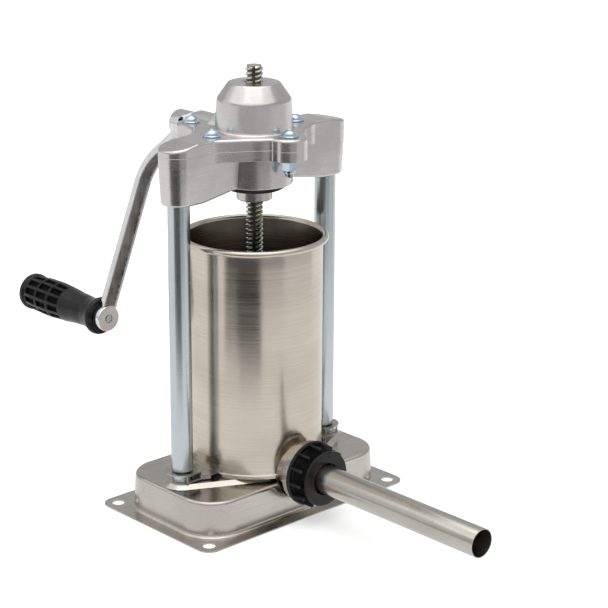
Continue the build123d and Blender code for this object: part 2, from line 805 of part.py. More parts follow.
def axle_bush():
    """Bronze bush that carries the crank shaft."""
    return ring_y(AXLE_BUSH_R, SHAFT_R + RUNNING_FIT, AXLE_BUSH_START, AXLE_BOSS_END)


def upper_bush():
    """Bronze bush round the gear's upper hub."""
    return ring_z(UPPER_BUSH_R, GEAR_HUB_R + RUNNING_FIT, THRUST_TOP, UPPER_BUSH_TOP)


def thrust_washer():
    """Bronze washer that takes the pressing load between gear and dome."""
    return ring_z(THRUST_R, THRUST_INNER_R, GEAR_BACK_Z + RUNNING_FIT, THRUST_TOP)


def lower_bush():
    """Flanged bush under the gear hub; its nose shows below the head."""
    bush = spin_z(
        [
            (SCREW_R + SCREW_CLEAR, LOWER_BUSH_BOTTOM),
            (LOWER_BUSH_R - LOWER_BUSH_EDGE, LOWER_BUSH_BOTTOM),
            (LOWER_BUSH_R, LOWER_BUSH_BOTTOM + LOWER_BUSH_EDGE),
            (LOWER_BUSH_R, WELL_BOTTOM),
            (LOWER_BUSH_FLANGE_R, WELL_BOTTOM),
            (LOWER_BUSH_FLANGE_R, WELL_BOTTOM + LOWER_BUSH_FLANGE),
            (GEAR_HUB_R + RUNNING_FIT, WELL_BOTTOM + LOWER_BUSH_FLANGE),
            (GEAR_HUB_R + RUNNING_FIT, LOWER_BUSH_SHOULDER),
            (SCREW_R + SCREW_CLEAR, LOWER_BUSH_SHOULDER),
        ]
    )
    return bush


def dust_ring():
    """Black ring that closes the joint between the lower bush and the casting."""
    return spin_z(
        [
            (LOWER_BUSH_R, DUST_RING_LOW),
            (DUST_RING_R - 5, DUST_RING_LOW),
            (DUST_RING_R, BOSS_BOTTOM - 1.6),
            (DUST_RING_R, BOSS_BOTTOM),
            (LOWER_BUSH_R, BOSS_BOTTOM),
        ]
    )


def keyway(outer, inner, width, low, high):
    """Upright bar on the keyway's side of the screw."""
    length = outer - inner
    bar = Pos(inner + length / 2, 0, (low + high) / 2) * Box(length, width, high - low)
    return Rot(0, 0, KEYWAY_ANGLE) * bar


def guide_bush():
    """Insert in the dome; its key stops the lead screw from turning."""
    bush = ring_z(GUIDE_R, SCREW_R + SCREW_CLEAR, GUIDE_LOW, DOME_TOP - 0.2)
    key_width = KEYWAY_WIDTH - 2 * KEY_SIDE_FIT
    return bush + keyway(SCREW_R + 2 * SCREW_CLEAR, KEY_INNER_R, key_width, GUIDE_LOW, DOME_TOP - 0.2)


# ---------------------------------------------------------------- lead screw and piston


def lead_screw():
    """Lead screw with a keyway and a stud end for the piston."""
    seat = PISTON_BOTTOM + PISTON_PLATE
    screw = rod_z(SCREW_R, seat, SCREW_TOP) + rod_z(STUD_R, STUD_TIP, seat)
    screw = chamfer(screw.edges().group_by(Axis.Z)[-1], SCREW_CHAMFER)
    floor_r = SCREW_R - KEYWAY_DEPTH
    return screw - keyway(SCREW_R + 1, floor_r, KEYWAY_WIDTH, seat + HUB_HEIGHT, SCREW_TOP + 1)


def piston():
    """Pressing plate with a seal groove, a hub, a nut pocket and a valve hole."""
    high = PISTON_BOTTOM + PISTON_PLATE
    plate = spin_z(
        [
            (0, PISTON_BOTTOM),
            (PISTON_R, PISTON_BOTTOM),
            (PISTON_R, SEAL_LOW),
            (SEAL_INNER_R, SEAL_LOW),
            (SEAL_INNER_R, SEAL_HIGH),
            (PISTON_R, SEAL_HIGH),
            (PISTON_R, high),
            (HUB_R, high),
            (HUB_R, high + HUB_HEIGHT),
            (0, high + HUB_HEIGHT),
        ]
    )
    plate -= rod_z(SCREW_R, high, high + HUB_HEIGHT + 1)
    plate -= rod_z(STUD_R, PISTON_BOTTOM - 1, high + 1)
    plate -= rod_z(NUT_POCKET_R, PISTON_BOTTOM - 1, NUT_POCKET_TOP)
    plate -= rod_z(VALVE_HOLE_R, PISTON_BOTTOM - 1, high + 1, VALVE_X)
    return plate - rod_z(VALVE_POCKET_R, PISTON_BOTTOM - 1, PISTON_BOTTOM + VALVE_POCKET, VALVE_X)


def piston_seal():
    """Seal ring in the piston's groove."""
    return ring_z(SEAL_R, SEAL_INNER_R, SEAL_LOW, SEAL_HIGH)


def piston_washer():
    """Washer above the piston nut."""
    return ring_z(NUT_POCKET_R - 1, STUD_R, NUT_POCKET_TOP - PISTON_WASHER, NUT_POCKET_TOP)


def piston_nut():
    """Thin nut that holds the piston on the screw."""
    high = NUT_POCKET_TOP - PISTON_WASHER
    return hex_z(PISTON_NUT_FLATS, high - PISTON_NUT, high) - rod_z(STUD_R, high - PISTON_NUT - 1, high + 1)


def air_valve():
    """Poppet that lets air out until meat closes it."""
    head_high = PISTON_BOTTOM - VALVE_GAP
    high = PISTON_BOTTOM + PISTON_PLATE
    poppet = rod_z(VALVE_HEAD_R, head_high - VALVE_HEAD, head_high, VALVE_X)
    return poppet + rod_z(VALVE_STEM_R, head_high, high + VALVE_CAP + 1, VALVE_X)


def valve_cap():
    """Push-on cap that holds the poppet in the piston."""
    high = PISTON_BOTTOM + PISTON_PLATE
    return ring_z(VALVE_CAP_R, VALVE_STEM_R, high + RUNNING_FIT, high + VALVE_CAP, VALVE_X)


def valve_spring():
    """Coil spring that holds the poppet open."""
    low = PISTON_BOTTOM - VALVE_GAP + SPRING_WIRE_R + RUNNING_FIT
    high = PISTON_BOTTOM + VALVE_POCKET - SPRING_WIRE_R - RUNNING_FIT
    path = Helix((high - low) / SPRING_TURNS, high - low, SPRING_COIL_R)
    wire = Plane(path @ 0, z_dir=path % 0) * Circle(SPRING_WIRE_R)
    return Pos(VALVE_X, 0, low) * sweep(wire, path)


# ---------------------------------------------------------------- cylinder


def cylinder_shell():
    """Rolled cylinder with a rolled rim, a foot bead and an opening for the spout."""
    shell = ring_z(CYLINDER_R, CYLINDER_R - CYLINDER_WALL, CYLINDER_BOTTOM, CYLINDER_TOP - RIM_ROLL_R)
    roll = Pos(RIM_R - RIM_ROLL_R, 0, CYLINDER_TOP - RIM_ROLL_R) * Rot(90, 0, 0) * Circle(RIM_ROLL_R)
    shell += revolve(roll, Axis.Z)
    shell += ring_z(FOOT_BEAD_R, CYLINDER_R - CYLINDER_WALL, CYLINDER_BOTTOM, CYLINDER_BOTTOM + FOOT_BEAD)
    return shell - rod_y(SPOUT_NECK_BORE_R, -2 * CYLINDER_R, 0, z=SPOUT_Z)


def cylinder_floor():
    """Pressed floor with an upturned rim and a sump that leads into the spout."""
    inner_r = CYLINDER_R - CYLINDER_WALL
    floor = rod_z(inner_r, FLOOR_LOW, FLOOR_LOW + SHEET)
    floor += ring_z(inner_r, inner_r - SHEET, FLOOR_LOW, FLOOR_FLANGE_TOP)
    sump = rod_y(SPOUT_NECK_R, -CYLINDER_R, CHANNEL_END_Y, z=SPOUT_Z)
    sump += Pos(0, CHANNEL_END_Y, SPOUT_Z) * Sphere(SPOUT_NECK_R)
    hollow = rod_y(SPOUT_NECK_BORE_R, -2 * CYLINDER_R, CHANNEL_END_Y, z=SPOUT_Z)
    hollow += Pos(0, CHANNEL_END_Y, SPOUT_Z) * Sphere(SPOUT_NECK_BORE_R)
    reach = rod_z(inner_r, 0, FLOOR_LOW + SHEET)
    return floor + (sump & reach) - hollow


def spout():
    """Welded outlet: neck, collar and threaded nose."""
    ridges = []
    start = THREAD_START_Y
    while start - THREAD_PITCH > SPOUT_END_Y:
        ridges += [
            (SPOUT_THREAD_R - THREAD_DEPTH, start),
            (SPOUT_THREAD_R, start - 0.3 * THREAD_PITCH),
            (SPOUT_THREAD_R, start - 0.6 * THREAD_PITCH),
            (SPOUT_THREAD_R - THREAD_DEPTH, start - 0.9 * THREAD_PITCH),
        ]
        start -= THREAD_PITCH
    body = spin_y(
        [
            (SPOUT_NECK_BORE_R, 0),
            (SPOUT_NECK_R, 0),
            (SPOUT_NECK_R, SPOUT_COLLAR_REAR_Y),
            (SPOUT_COLLAR_R, SPOUT_COLLAR_REAR_Y),
            (SPOUT_COLLAR_R, SPOUT_COLLAR_REAR_Y - COLLAR),
            *ridges,
            (SPOUT_THREAD_R - THREAD_DEPTH, SPOUT_END_Y),
            (SPOUT_BORE_R, SPOUT_END_Y),
            (SPOUT_BORE_R, SPOUT_COLLAR_REAR_Y),
            (SPOUT_NECK_BORE_R, SPOUT_COLLAR_REAR_Y),
        ],
        z=SPOUT_Z,
    )
    body -= rod_z(FOOT_BEAD_R, CYLINDER_BOTTOM, CYLINDER_BOTTOM + FOOT_BEAD)
    return body - rod_z(CYLINDER_R, 0, CYLINDER_TOP)


def block(x, y, z):
    """Box between three (low, high) pairs."""
    centre = Pos(sum(x) / 2, sum(y) / 2, sum(z) / 2)
    return centre * Box(x[1] - x[0], y[1] - y[0], z[1] - z[0])


def bracket():
    """Left bracket: a fork round the column's neck, stepped down to the cylinder."""
    high = BRACKET_LOW + SHEET
    low = BRACKET_LOW - BRACKET_DROP
    riser = (-BRACKET_STEP_X, -BRACKET_STEP_X + SHEET)
    front = (-BRACKET_FRONT_Y, -BRACKET_FRONT_Y + SHEET)
    depth = (-BRACKET_FRONT_Y, BRACKET_REAR_Y)
    fork = rod_z(BRACKET_DISC_R, BRACKET_LOW, high, -COLUMN_X)
    fork -= block((riser[1], 0), (-BIG, BIG), (0, BIG))
    fork += block((-COLUMN_X, riser[1]), depth, (BRACKET_LOW, high))
    fork -= rod_z(BRACKET_SLOT_R, 0, BIG, -COLUMN_X)
    fork -= block((-COLUMN_X - BRACKET_SLOT_R, -COLUMN_X + BRACKET_SLOT_R), (0, BIG), (0, BIG))
    fork += block(riser, depth, (low, high))
    fork += block((-BRACKET_FLANGE_X, riser[1]), front, (BRACKET_FLANGE_BOTTOM, high))
    window = (-BRACKET_FLANGE_X + BRACKET_FRAME, riser[0])
    sill = BRACKET_FLANGE_BOTTOM + BRACKET_FRAME
    fork -= block(window, (-BIG, -BRACKET_FRONT_Y + SHEET), (sill, BRACKET_LOW))
    corner = (riser[0], -BRACKET_FRONT_Y)
    bend = (-BRACKET_BEND_X, -BRACKET_BEND_Y)
    back = (riser[0], BRACKET_REAR_Y)
    pad = Polyline(corner, bend, (0, -BRACKET_BEND_Y), (0, BRACKET_REAR_Y), back, close=True)
    lip = Polyline(corner, bend, (bend[0], bend[1] + SHEET), (corner[0], corner[1] + SHEET), close=True)
    foot = extrude(Pos(0, 0, low) * make_face(pad), SHEET)
    foot += extrude(Pos(0, 0, BRACKET_FLANGE_BOTTOM) * make_face(lip), low + SHEET - BRACKET_FLANGE_BOTTOM)
    return fork + (foot - rod_z(CYLINDER_R, 0, BIG))


# ---------------------------------------------------------------- stuffing tube and ring nut


def stuffing_tube():
    """Thin tube with a trumpet mouth and a seat flange."""
    shoulder = TUBE_SEAT_Y - TUBE_FLANGE
    end = TUBE_SEAT_Y - TUBE_TRUMPET
    mid_r = TUBE_R + TUBE_WALL / 2
    mid_y = TUBE_SEAT_Y - TUBE_TRUMPET / 2
    return spin_y(
        [
            (TUBE_FLANGE_R, TUBE_SEAT_Y),
            (TUBE_FLANGE_R, shoulder),
            (TRUMPET_R, shoulder),
            (mid_r, mid_y),
            (TUBE_R, end),
            (TUBE_R, TUBE_END_Y),
            (TUBE_R - TUBE_WALL, TUBE_END_Y),
            (TUBE_R - TUBE_WALL, end),
            (mid_r - TUBE_WALL, mid_y),
            (TRUMPET_R - TUBE_WALL, TUBE_SEAT_Y),
        ],
        z=SPOUT_Z,
    )


def tube_gasket():
    """Flat gasket between the spout's nose and the tube's flange."""
    return ring_y(GASKET_R, GASKET_INNER_R, SPOUT_END_Y - RUNNING_FIT, TUBE_SEAT_Y, z=SPOUT_Z)


def nut_lug():
    """One grip lug at the top of the ring nut, with a rounded front tip."""
    rear = NUT_REAR_Y - NUT_FLANGE / 2
    outline = Polyline(
        (LUG_ROOT_R, rear), (NUT_LUG_R, rear), (NUT_LUG_R, LUG_TIP_Y), (LUG_ROOT_R, LUG_TIP_Y), close=True
    )
    face = make_face(outline)
    face = fillet(face.vertices().sort_by(Axis.Y)[:2].sort_by(Axis.X)[-1], LUG_TIP_R)
    lug = extrude(face, NUT_LUG_WIDTH / 2, both=True)
    outer = [e for e in lug.edges() if e.center().X > NUT_LUG_R - LUG_TIP_R and abs(e.center().Z) > LUG_EDGE]
    return fillet(outer, LUG_EDGE)


def ring_nut():
    """Lugged ring nut that clamps the stuffing tube on the spout."""
    lip = NUT_FRONT_Y + NUT_LIP
    body = spin_y(
        [
            (NUT_BORE_R, NUT_REAR_Y),
            (NUT_FLANGE_R, NUT_REAR_Y),
            (NUT_FLANGE_R, NUT_REAR_Y - NUT_FLANGE),
            (NUT_CORE_R, NUT_REAR_Y - NUT_FLANGE),
            (NUT_CORE_R, NUT_FRONT_Y + NUT_FACE),
            (NUT_FACE_R, NUT_FRONT_Y + NUT_FACE),
            (NUT_FACE_R, NUT_FRONT_Y),
            (NUT_HOLE_R, NUT_FRONT_Y),
            (NUT_HOLE_R, lip),
            (NUT_BORE_R, lip),
        ],
        z=0,
    )
    lug = nut_lug()
    step = 360 / NUT_LUGS
    lugs = [Rot(0, -LUG_PHASE - i * step, 0) * lug for i in range(NUT_LUGS)]
    return Pos(0, 0, SPOUT_Z) * (body + lugs)


# ---------------------------------------------------------------- crank and grip


def crank_side(offset, root, end):
    """Points along one side of the bent arm, from the hub to the boss."""
    rise = radians(CRANK_RISE)
    radius = CRANK_BEND_R + offset
    centre_y = CRANK_FAR_Y - CRANK_BEND_R
    start = (CRANK_BEND_END - radius * sin(rise), centre_y + radius * cos(rise))
    middle = (CRANK_BEND_END - radius * sin(rise / 2), centre_y + radius * cos(rise / 2))
    finish = (CRANK_BEND_END, centre_y + radius)
    first = (start[0] - root * cos(rise), start[1] - root * sin(rise))
    return first, start, middle, finish, (end, centre_y + radius)


def crank_strip(near, far, root, end, width):
    """Solid strip that follows the arm's bend between two offsets."""
    edges = []
    sides = [crank_side(near, root, end), crank_side(far, root, end)]
    for first, start, middle, finish, last in sides:
        edges += [Line(first, start), ThreePointArc(start, middle, finish), Line(finish, last)]
    edges += [Line(sides[0][0], sides[1][0]), Line(sides[0][-1], sides[1][-1])]
    return extrude(make_face(edges), width / 2, both=True)


def crank_arm():
    """Bent arm with a hub for the shaft and a boss for the grip pin."""
    half = CRANK_THICK / 2
    bar = crank_strip(-half, half, CRANK_ROOT, CRANK_LENGTH, CRANK_WIDTH)
    bar = fillet(bar.faces().filter_by(Axis.Z).edges(), CRANK_EDGE)
    web = crank_strip(-half - 1, CRANK_WEB_DEPTH - half, CRANK_WEB_START, CRANK_WEB_END, CRANK_WEB_WIDTH)
    hub = fillet(rod_y(CRANK_HUB_R, CRANK_HUB_NEAR, CRANK_HUB_FAR).edges(), CRANK_HUB_EDGE)
    boss = rod_y(CRANK_BOSS_R, CRANK_BOSS_NEAR, CRANK_BOSS_FAR, GRIP_X, GRIP_Z)
    boss = fillet(boss.edges(), CRANK_BOSS_EDGE)
    arm = CRANK_PLANE * (bar - web) + hub + boss
    arm -= rod_y(SHAFT_R, CRANK_HUB_NEAR - 1, CRANK_HUB_FAR + 1)
    arm -= rod_y(PIN_TENON_R, CRANK_BOSS_NEAR - 1, CRANK_BOSS_FAR + 1, GRIP_X, GRIP_Z)
    return arm - set_screw_rod(SHAFT_R - 2, CRANK_HUB_R + 1)


def set_screw_rod(start, end):
    """Radial rod through the crank hub where the set screw sits."""
    rod = Pos((start + end) / 2, 0, 0) * Rot(0, 90, 0) * Cylinder(SET_SCREW_R, end - start)
    return Pos(0, SET_SCREW_Y, AXLE_Z) * Rot(0, -SET_SCREW_ANGLE, 0) * rod


def set_screw():
    """Socket set screw that grips the shaft."""
    screw = set_screw_rod(SHAFT_R - 1, SET_SCREW_TIP) - rod_y(SHAFT_R, CRANK_HUB_NEAR, CRANK_HUB_FAR)
    socket = Pos(SET_SCREW_TIP, 0, 0) * Rot(0, 90, 0) * hex_z(SET_SCREW_R, -SET_SCREW_R / 2, 1)
    return screw - Pos(0, SET_SCREW_Y, AXLE_Z) * Rot(0, -SET_SCREW_ANGLE, 0) * socket


def shaft_washer():
    """Washer on the shaft beside the head's boss."""
    return ring_y(SHAFT_WASHER_R, SHAFT_R, SHAFT_WASHER_NEAR, SHAFT_WASHER_FAR)


def grip_pin():
    """Shoulder pin riveted in the boss; the grip turns on it."""
    pin = rod_y(PIN_TENON_R, PIN_TENON_NEAR, CRANK_BOSS_FAR, GRIP_X, GRIP_Z)
    pin += rod_y(GRIP_PIN_R, CRANK_BOSS_FAR, PIN_HEAD_NEAR, GRIP_X, GRIP_Z)
    return pin + rod_y(PIN_HEAD_R, PIN_HEAD_NEAR, PIN_HEAD_NEAR + PIN_HEAD, GRIP_X, GRIP_Z)


def grip_washer():
    """Washer between the grip and the pin's head."""
    return ring_y(GRIP_WASHER_R, GRIP_PIN_R, GRIP_WASHER_NEAR, PIN_HEAD_NEAR, GRIP_X, GRIP_Z)


def grip():
    """Barrel grip, bored for the pin and counterbored at its far end."""
    swell = [(radius, y) for y, radius in GRIP_SWELL]
    nose = [(radius, y) for y, radius in GRIP_NOSE]
    edges = [
        Spline(*swell),
        Polyline(swell[-1], *nose, (0, GRIP_END), (0, GRIP_START), (GRIP_MOUTH_R, GRIP_START), swell[0]),
    ]
    body = Pos(GRIP_X, 0, GRIP_Z) * revolve(make_face(edges), Axis.Y)
    body -= rod_y(GRIP_BORE_R, GRIP_START - 1, GRIP_END, GRIP_X, GRIP_Z)
    return body - rod_y(GRIP_RECESS_R, GRIP_RECESS_START, GRIP_END + 1, GRIP_X, GRIP_Z)


def grip_cap():
    """Plug in the grip's far end."""
    return rod_y(GRIP_RECESS_R, GRIP_CAP_NEAR, GRIP_CAP_FAR, GRIP_X, GRIP_Z)


# ---------------------------------------------------------------- all nodes
save("base_pan", base_pan())
save("column_left", column(-COLUMN_X))
save("column_right", column(COLUMN_X))
save("foot_bolts", foot_bolts())
save("foot_washers", foot_washers())
save("head_bolts", head_bolts())
save("head_washers", head_washers())
save("head_housing", head_housing())
save("head_cover", head_cover())
save("cover_screws", group(cover_screw(x, y) for x, y in cover_screw_places()))
save("cover_nuts", cover_nuts())
save("bevel_gear_nut", bevel_gear_nut())
save("bevel_pinion", bevel_pinion())
save("pinion_pin", pinion_pin())
save("crank_shaft", crank_shaft())
save("axle_bush", axle_bush())
save("upper_bush", upper_bush())
save("lower_bush", lower_bush())
save("thrust_washer", thrust_washer())
save("dust_ring", dust_ring())
save("guide_bush", guide_bush())
save("lead_screw", lead_screw())
save("piston", piston())
save("piston_seal", piston_seal())
save("piston_washer", piston_washer())
save("piston_nut", piston_nut())
save("air_valve", air_valve())
save("valve_cap", valve_cap())
save("valve_spring", valve_spring())
save("cylinder_shell", cylinder_shell())
save("cylinder_floor", cylinder_floor())
save("spout", spout())
save("bracket_left", bracket())
save("bracket_right", mirror(bracket(), Plane.YZ))
save("stuffing_tube", stuffing_tube())
save("tube_gasket", tube_gasket())
save("ring_nut", ring_nut())
save("crank_arm", crank_arm())
save("set_screw", set_screw())
save("shaft_washer", shaft_washer())
save("grip_pin", grip_pin())
save("grip_washer", grip_washer())
save("grip", grip())
save("grip_cap", grip_cap())
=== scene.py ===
"""Looks of the hand-cranked sausage stuffer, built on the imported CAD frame. Lengths in mm unless said."""
import json
import math

import bmesh
import bpy
from mathutils import Matrix, Vector


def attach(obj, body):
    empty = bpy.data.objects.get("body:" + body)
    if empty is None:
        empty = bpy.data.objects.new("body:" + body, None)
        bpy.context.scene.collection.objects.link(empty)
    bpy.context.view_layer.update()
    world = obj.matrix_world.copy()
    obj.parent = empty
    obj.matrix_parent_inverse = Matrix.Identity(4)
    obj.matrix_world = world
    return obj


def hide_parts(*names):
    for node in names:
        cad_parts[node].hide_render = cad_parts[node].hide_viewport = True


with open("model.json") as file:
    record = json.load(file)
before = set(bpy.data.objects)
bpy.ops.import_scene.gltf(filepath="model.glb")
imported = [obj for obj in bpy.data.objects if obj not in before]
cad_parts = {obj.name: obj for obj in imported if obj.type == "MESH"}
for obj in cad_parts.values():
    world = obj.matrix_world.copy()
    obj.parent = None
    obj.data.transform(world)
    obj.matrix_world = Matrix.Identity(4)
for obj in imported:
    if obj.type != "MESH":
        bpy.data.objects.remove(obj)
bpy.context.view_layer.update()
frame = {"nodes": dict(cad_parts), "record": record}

MM = 0.001
TAU = 2 * math.pi
nodes = frame["nodes"]


# ---------------------------------------------------------------- node helpers
def new_material(name):
    """Material with an empty node tree, its shader and its output."""
    mat = bpy.data.materials.new(name)
    mat.use_nodes = True
    tree = mat.node_tree
    tree.nodes.clear()
    out = tree.nodes.new("ShaderNodeOutputMaterial")
    bsdf = tree.nodes.new("ShaderNodeBsdfPrincipled")
    tree.links.new(bsdf.outputs["BSDF"], out.inputs["Surface"])
    return mat, tree, bsdf


def streaks(tree, stretch, detail=6.0, rough=0.6):
    """Noise in object space, stretched by a scale per axis."""
    coord = tree.nodes.new("ShaderNodeTexCoord")
    mapping = tree.nodes.new("ShaderNodeMapping")
    mapping.inputs["Scale"].default_value = stretch
    noise = tree.nodes.new("ShaderNodeTexNoise")
    noise.inputs["Scale"].default_value = 1.0
    noise.inputs["Detail"].default_value = detail
    noise.inputs["Roughness"].default_value = rough
    tree.links.new(coord.outputs["Object"], mapping.inputs["Vector"])
    tree.links.new(mapping.outputs["Vector"], noise.inputs["Vector"])
    return noise.outputs["Fac"]


def ramp(tree, fac, low, high, start, end):
    """Maps a factor from start..end onto low..high."""
    node = tree.nodes.new("ShaderNodeMapRange")
    node.inputs["From Min"].default_value = start
    node.inputs["From Max"].default_value = end
    node.inputs["To Min"].default_value = low
    node.inputs["To Max"].default_value = high
    tree.links.new(fac, node.inputs["Value"])
    return node.outputs["Result"]


def blend_colour(tree, fac, a, b):
    """Mix of two colours."""
    node = tree.nodes.new("ShaderNodeMix")
    node.data_type = "RGBA"
    node.inputs["A"].default_value = (*a, 1)
    node.inputs["B"].default_value = (*b, 1)
    tree.links.new(fac, node.inputs["Factor"])
    return node.outputs["Result"]


def bumps(tree, bsdf, layers, soften=0.0):
    """Chains bump nodes from (height output, distance in metres, strength).

    The edges underneath are softened by a radius, in metres.
    """
    last = None
    if soften:
        bevel = tree.nodes.new("ShaderNodeBevel")
        bevel.samples = 6
        bevel.inputs["Radius"].default_value = soften
        last = bevel.outputs["Normal"]
    for height, distance, strength in layers:
        bump = tree.nodes.new("ShaderNodeBump")
        bump.inputs["Distance"].default_value = distance
        bump.inputs["Strength"].default_value = strength
        tree.links.new(height, bump.inputs["Height"])
        if last is not None:
            tree.links.new(last, bump.inputs["Normal"])
        last = bump.outputs["Normal"]
    tree.links.new(last, bsdf.inputs["Normal"])


def metal(
    name, dark, light, rough, grain, wear=(30, 30, 30), grain_depth=2e-5, pits=0.0, soften=0.0, lines=0.15
):
    """Metal with grain lines and worn patches in colour, roughness and height; edges softened by a radius."""
    mat, tree, bsdf = new_material(name)
    fine = streaks(tree, grain, 4.0, 0.7)
    patches = streaks(tree, wear, 5.0, 0.55)
    tone = tree.nodes.new("ShaderNodeMath")
    tone.operation = "ADD"
    tree.links.new(ramp(tree, patches, 0, 1, 0.35, 0.65), tone.inputs[0])
    tree.links.new(ramp(tree, fine, -4 * lines, 4 * lines, 0.2, 0.8), tone.inputs[1])
    tone.use_clamp = True
    tree.links.new(blend_colour(tree, tone.outputs[0], dark, light), bsdf.inputs["Base Color"])
    bsdf.inputs["Metallic"].default_value = 1.0
    add = tree.nodes.new("ShaderNodeMath")
    add.operation = "ADD"
    tree.links.new(ramp(tree, fine, rough[0] - rough[1], rough[0] + rough[1], 0.3, 0.7), add.inputs[0])
    tree.links.new(ramp(tree, patches, -0.5 * rough[1], 0.5 * rough[1], 0.3, 0.7), add.inputs[1])
    tree.links.new(add.outputs[0], bsdf.inputs["Roughness"])
    layers = [(fine, grain_depth, 0.5)]
    if pits:
        layers.append((streaks(tree, (700, 700, 700), 3.0, 0.5), pits, 0.6))
        layers.append((streaks(tree, (90, 90, 90), 3.0, 0.5), pits * 4, 0.5))
    bumps(tree, bsdf, layers, soften)
    return mat


def plastic(name, colour, rough, grain=5e-5, coat=0.0, shine=0.5):
    """Moulded plastic or rubber with a fine grain and faint flow marks."""
    mat, tree, bsdf = new_material(name)
    fine = streaks(tree, (1500, 1500, 1500), 3.0, 0.5)
    flow = streaks(tree, (60, 60, 60), 4.0, 0.5)
    lighter = tuple(min(1.0, c * 1.35 + 0.004) for c in colour)
    tone = ramp(tree, flow, 0, 1, 0.35, 0.65)
    tree.links.new(blend_colour(tree, tone, colour, lighter), bsdf.inputs["Base Color"])
    tree.links.new(ramp(tree, flow, rough - 0.06, rough + 0.08, 0.3, 0.7), bsdf.inputs["Roughness"])
    bsdf.inputs["Specular IOR Level"].default_value = shine
    bsdf.inputs["Coat Weight"].default_value = coat
    bsdf.inputs["Coat Roughness"].default_value = 0.15
    bumps(tree, bsdf, [(fine, grain, 0.4), (flow, grain * 6, 0.3)])
    return mat


# ---------------------------------------------------------------- materials
AROUND = (4, 4, 1500)
ALONG_Y = (1400, 5, 1400)
TURNED = (8, 8, 1800)
MATERIALS = {
    "brushed_steel": metal(
        "BrushedSteel", (0.54, 0.49, 0.425), (0.64, 0.59, 0.52),
        (0.21, 0.05), AROUND, (9, 9, 20), 2e-5, 0.0, 0.0, 0.22
    ),
    "base_steel": metal(
        "BaseSteel", (0.48, 0.45, 0.41), (0.58, 0.55, 0.505),
        (0.24, 0.05), (6, 900, 900), (12, 12, 12), 8e-6, 0.0, 0.0, 0.16
    ),
    # Darker steel for the inside of the cylinder: painted shade inside the cylinder.
    "inner_steel_painted_shade": metal(
        "InnerSteelPaintedShade", (0.13, 0.11, 0.09), (0.20, 0.17, 0.145),
        (0.26, 0.06), AROUND, (9, 9, 20)
    ),
    "bracket_steel": metal("BracketSteel", (0.40, 0.37, 0.34), (0.52, 0.49, 0.45), (0.25, 0.06), ALONG_Y),
    "tube_steel": metal(
        "TubeSteel", (0.46, 0.435, 0.40), (0.58, 0.55, 0.51),
        (0.25, 0.02), (400, 6, 400), (20, 8, 20), 3e-6, 0.0, 0.0, 0.08
    ),
    "column_steel": metal(
        "ColumnSteel", (0.50, 0.56, 0.59), (0.59, 0.645, 0.665),
        (0.26, 0.015), TURNED, (20, 20, 7), 1e-6, 0.0, 0.0, 0.08
    ),
    "zinc_steel": metal(
        "ZincSteel", (0.45, 0.58, 0.67), (0.60, 0.72, 0.80),
        (0.17, 0.05), (300, 300, 300), (60, 60, 60)
    ),
    "black_steel": metal(
        "BlackSteel", (0.04, 0.04, 0.045), (0.08, 0.08, 0.085),
        (0.38, 0.06), (300, 300, 300)
    ),
    "cast_aluminium": metal(
        "CastAluminium", (0.58, 0.56, 0.55), (0.68, 0.66, 0.65),
        (0.26, 0.02), (40, 40, 400), (22, 22, 22), 1e-6, 4e-7, 0.0006, 0.07
    ),
    "crank_aluminium": metal(
        "CrankAluminium", (0.66, 0.66, 0.67), (0.80, 0.80, 0.81),
        (0.14, 0.04), (500, 500, 60), (22, 22, 22), 8e-6, 5e-6
    ),
    # Dark metal for the arm's web recess: painted shade and a painted dark reflection.
    "crank_web_painted_shade": metal(
        "CrankWebPaintedShade", (0.13, 0.13, 0.13), (0.30, 0.295, 0.29),
        (0.30, 0.05), (500, 500, 20), (30, 30, 30), 1e-5
    ),
    "gear_steel": metal("GearSteel", (0.30, 0.30, 0.30), (0.45, 0.44, 0.43), (0.33, 0.08), (400, 400, 400)),
    "bronze": metal(
        "Bronze", (0.50, 0.33, 0.16), (0.66, 0.46, 0.25),
        (0.36, 0.08), (500, 500, 500), (40, 40, 40), 2e-5, 1e-5
    ),
    "bush_steel": metal("BushSteel", (0.52, 0.50, 0.48), (0.64, 0.62, 0.60), (0.25, 0.05), TURNED),
    "screw_steel": metal(
        "ScrewSteel", (0.52, 0.50, 0.44), (0.70, 0.68, 0.61),
        (0.20, 0.05), (200, 200, 700), (70, 70, 70)
    ),
    # Near-black steel for the thread roots: painted shade in the thread grooves.
    "screw_root_painted_shade": metal(
        "ScrewRootPaintedShade", (0.07, 0.065, 0.05), (0.16, 0.15, 0.12),
        (0.32, 0.06), (200, 200, 700), (70, 70, 70)
    ),
    "stainless": metal("Stainless", (0.58, 0.57, 0.55), (0.70, 0.69, 0.67), (0.2, 0.05), TURNED),
    "piston_plastic": plastic("PistonPlastic", (0.74, 0.73, 0.70), 0.42),
    "white_plastic": plastic("WhitePlastic", (0.78, 0.77, 0.75), 0.38),
    "seal_rubber": plastic("SealRubber", (0.62, 0.60, 0.56), 0.55),
    "black_rubber": plastic("BlackRubber", (0.012, 0.012, 0.013), 0.5),
    "black_plastic": plastic("BlackPlastic", (0.004, 0.004, 0.0045), 0.27, 3e-5, 0.06, 0.25),
    # Blacker, duller plastic for recesses: painted shade.
    "black_recess_painted_shade": plastic("BlackRecessPaintedShade", (0.002, 0.002, 0.002), 0.6, 3e-5, 0.0, 0.05),
}
slot_of = {part["node"]: part["material_slot"] for part in frame["record"]["subparts"]}


# ---------------------------------------------------------------- mesh helpers
def finish_mesh(obj, angle=32.0):
    """Welds, orients and shades a mesh: smooth, with sharp edges kept above an angle."""
    bm = bmesh.new()
    bm.from_mesh(obj.data)
    bmesh.ops.remove_doubles(bm, verts=bm.verts, dist=1e-6)
    bmesh.ops.dissolve_degenerate(bm, edges=bm.edges, dist=1e-7)
    bmesh.ops.recalc_face_normals(bm, faces=bm.faces)
    bm.to_mesh(obj.data)
    bm.free()
    obj.data.shade_smooth()
    obj.data.set_sharp_from_angle(angle=math.radians(angle))


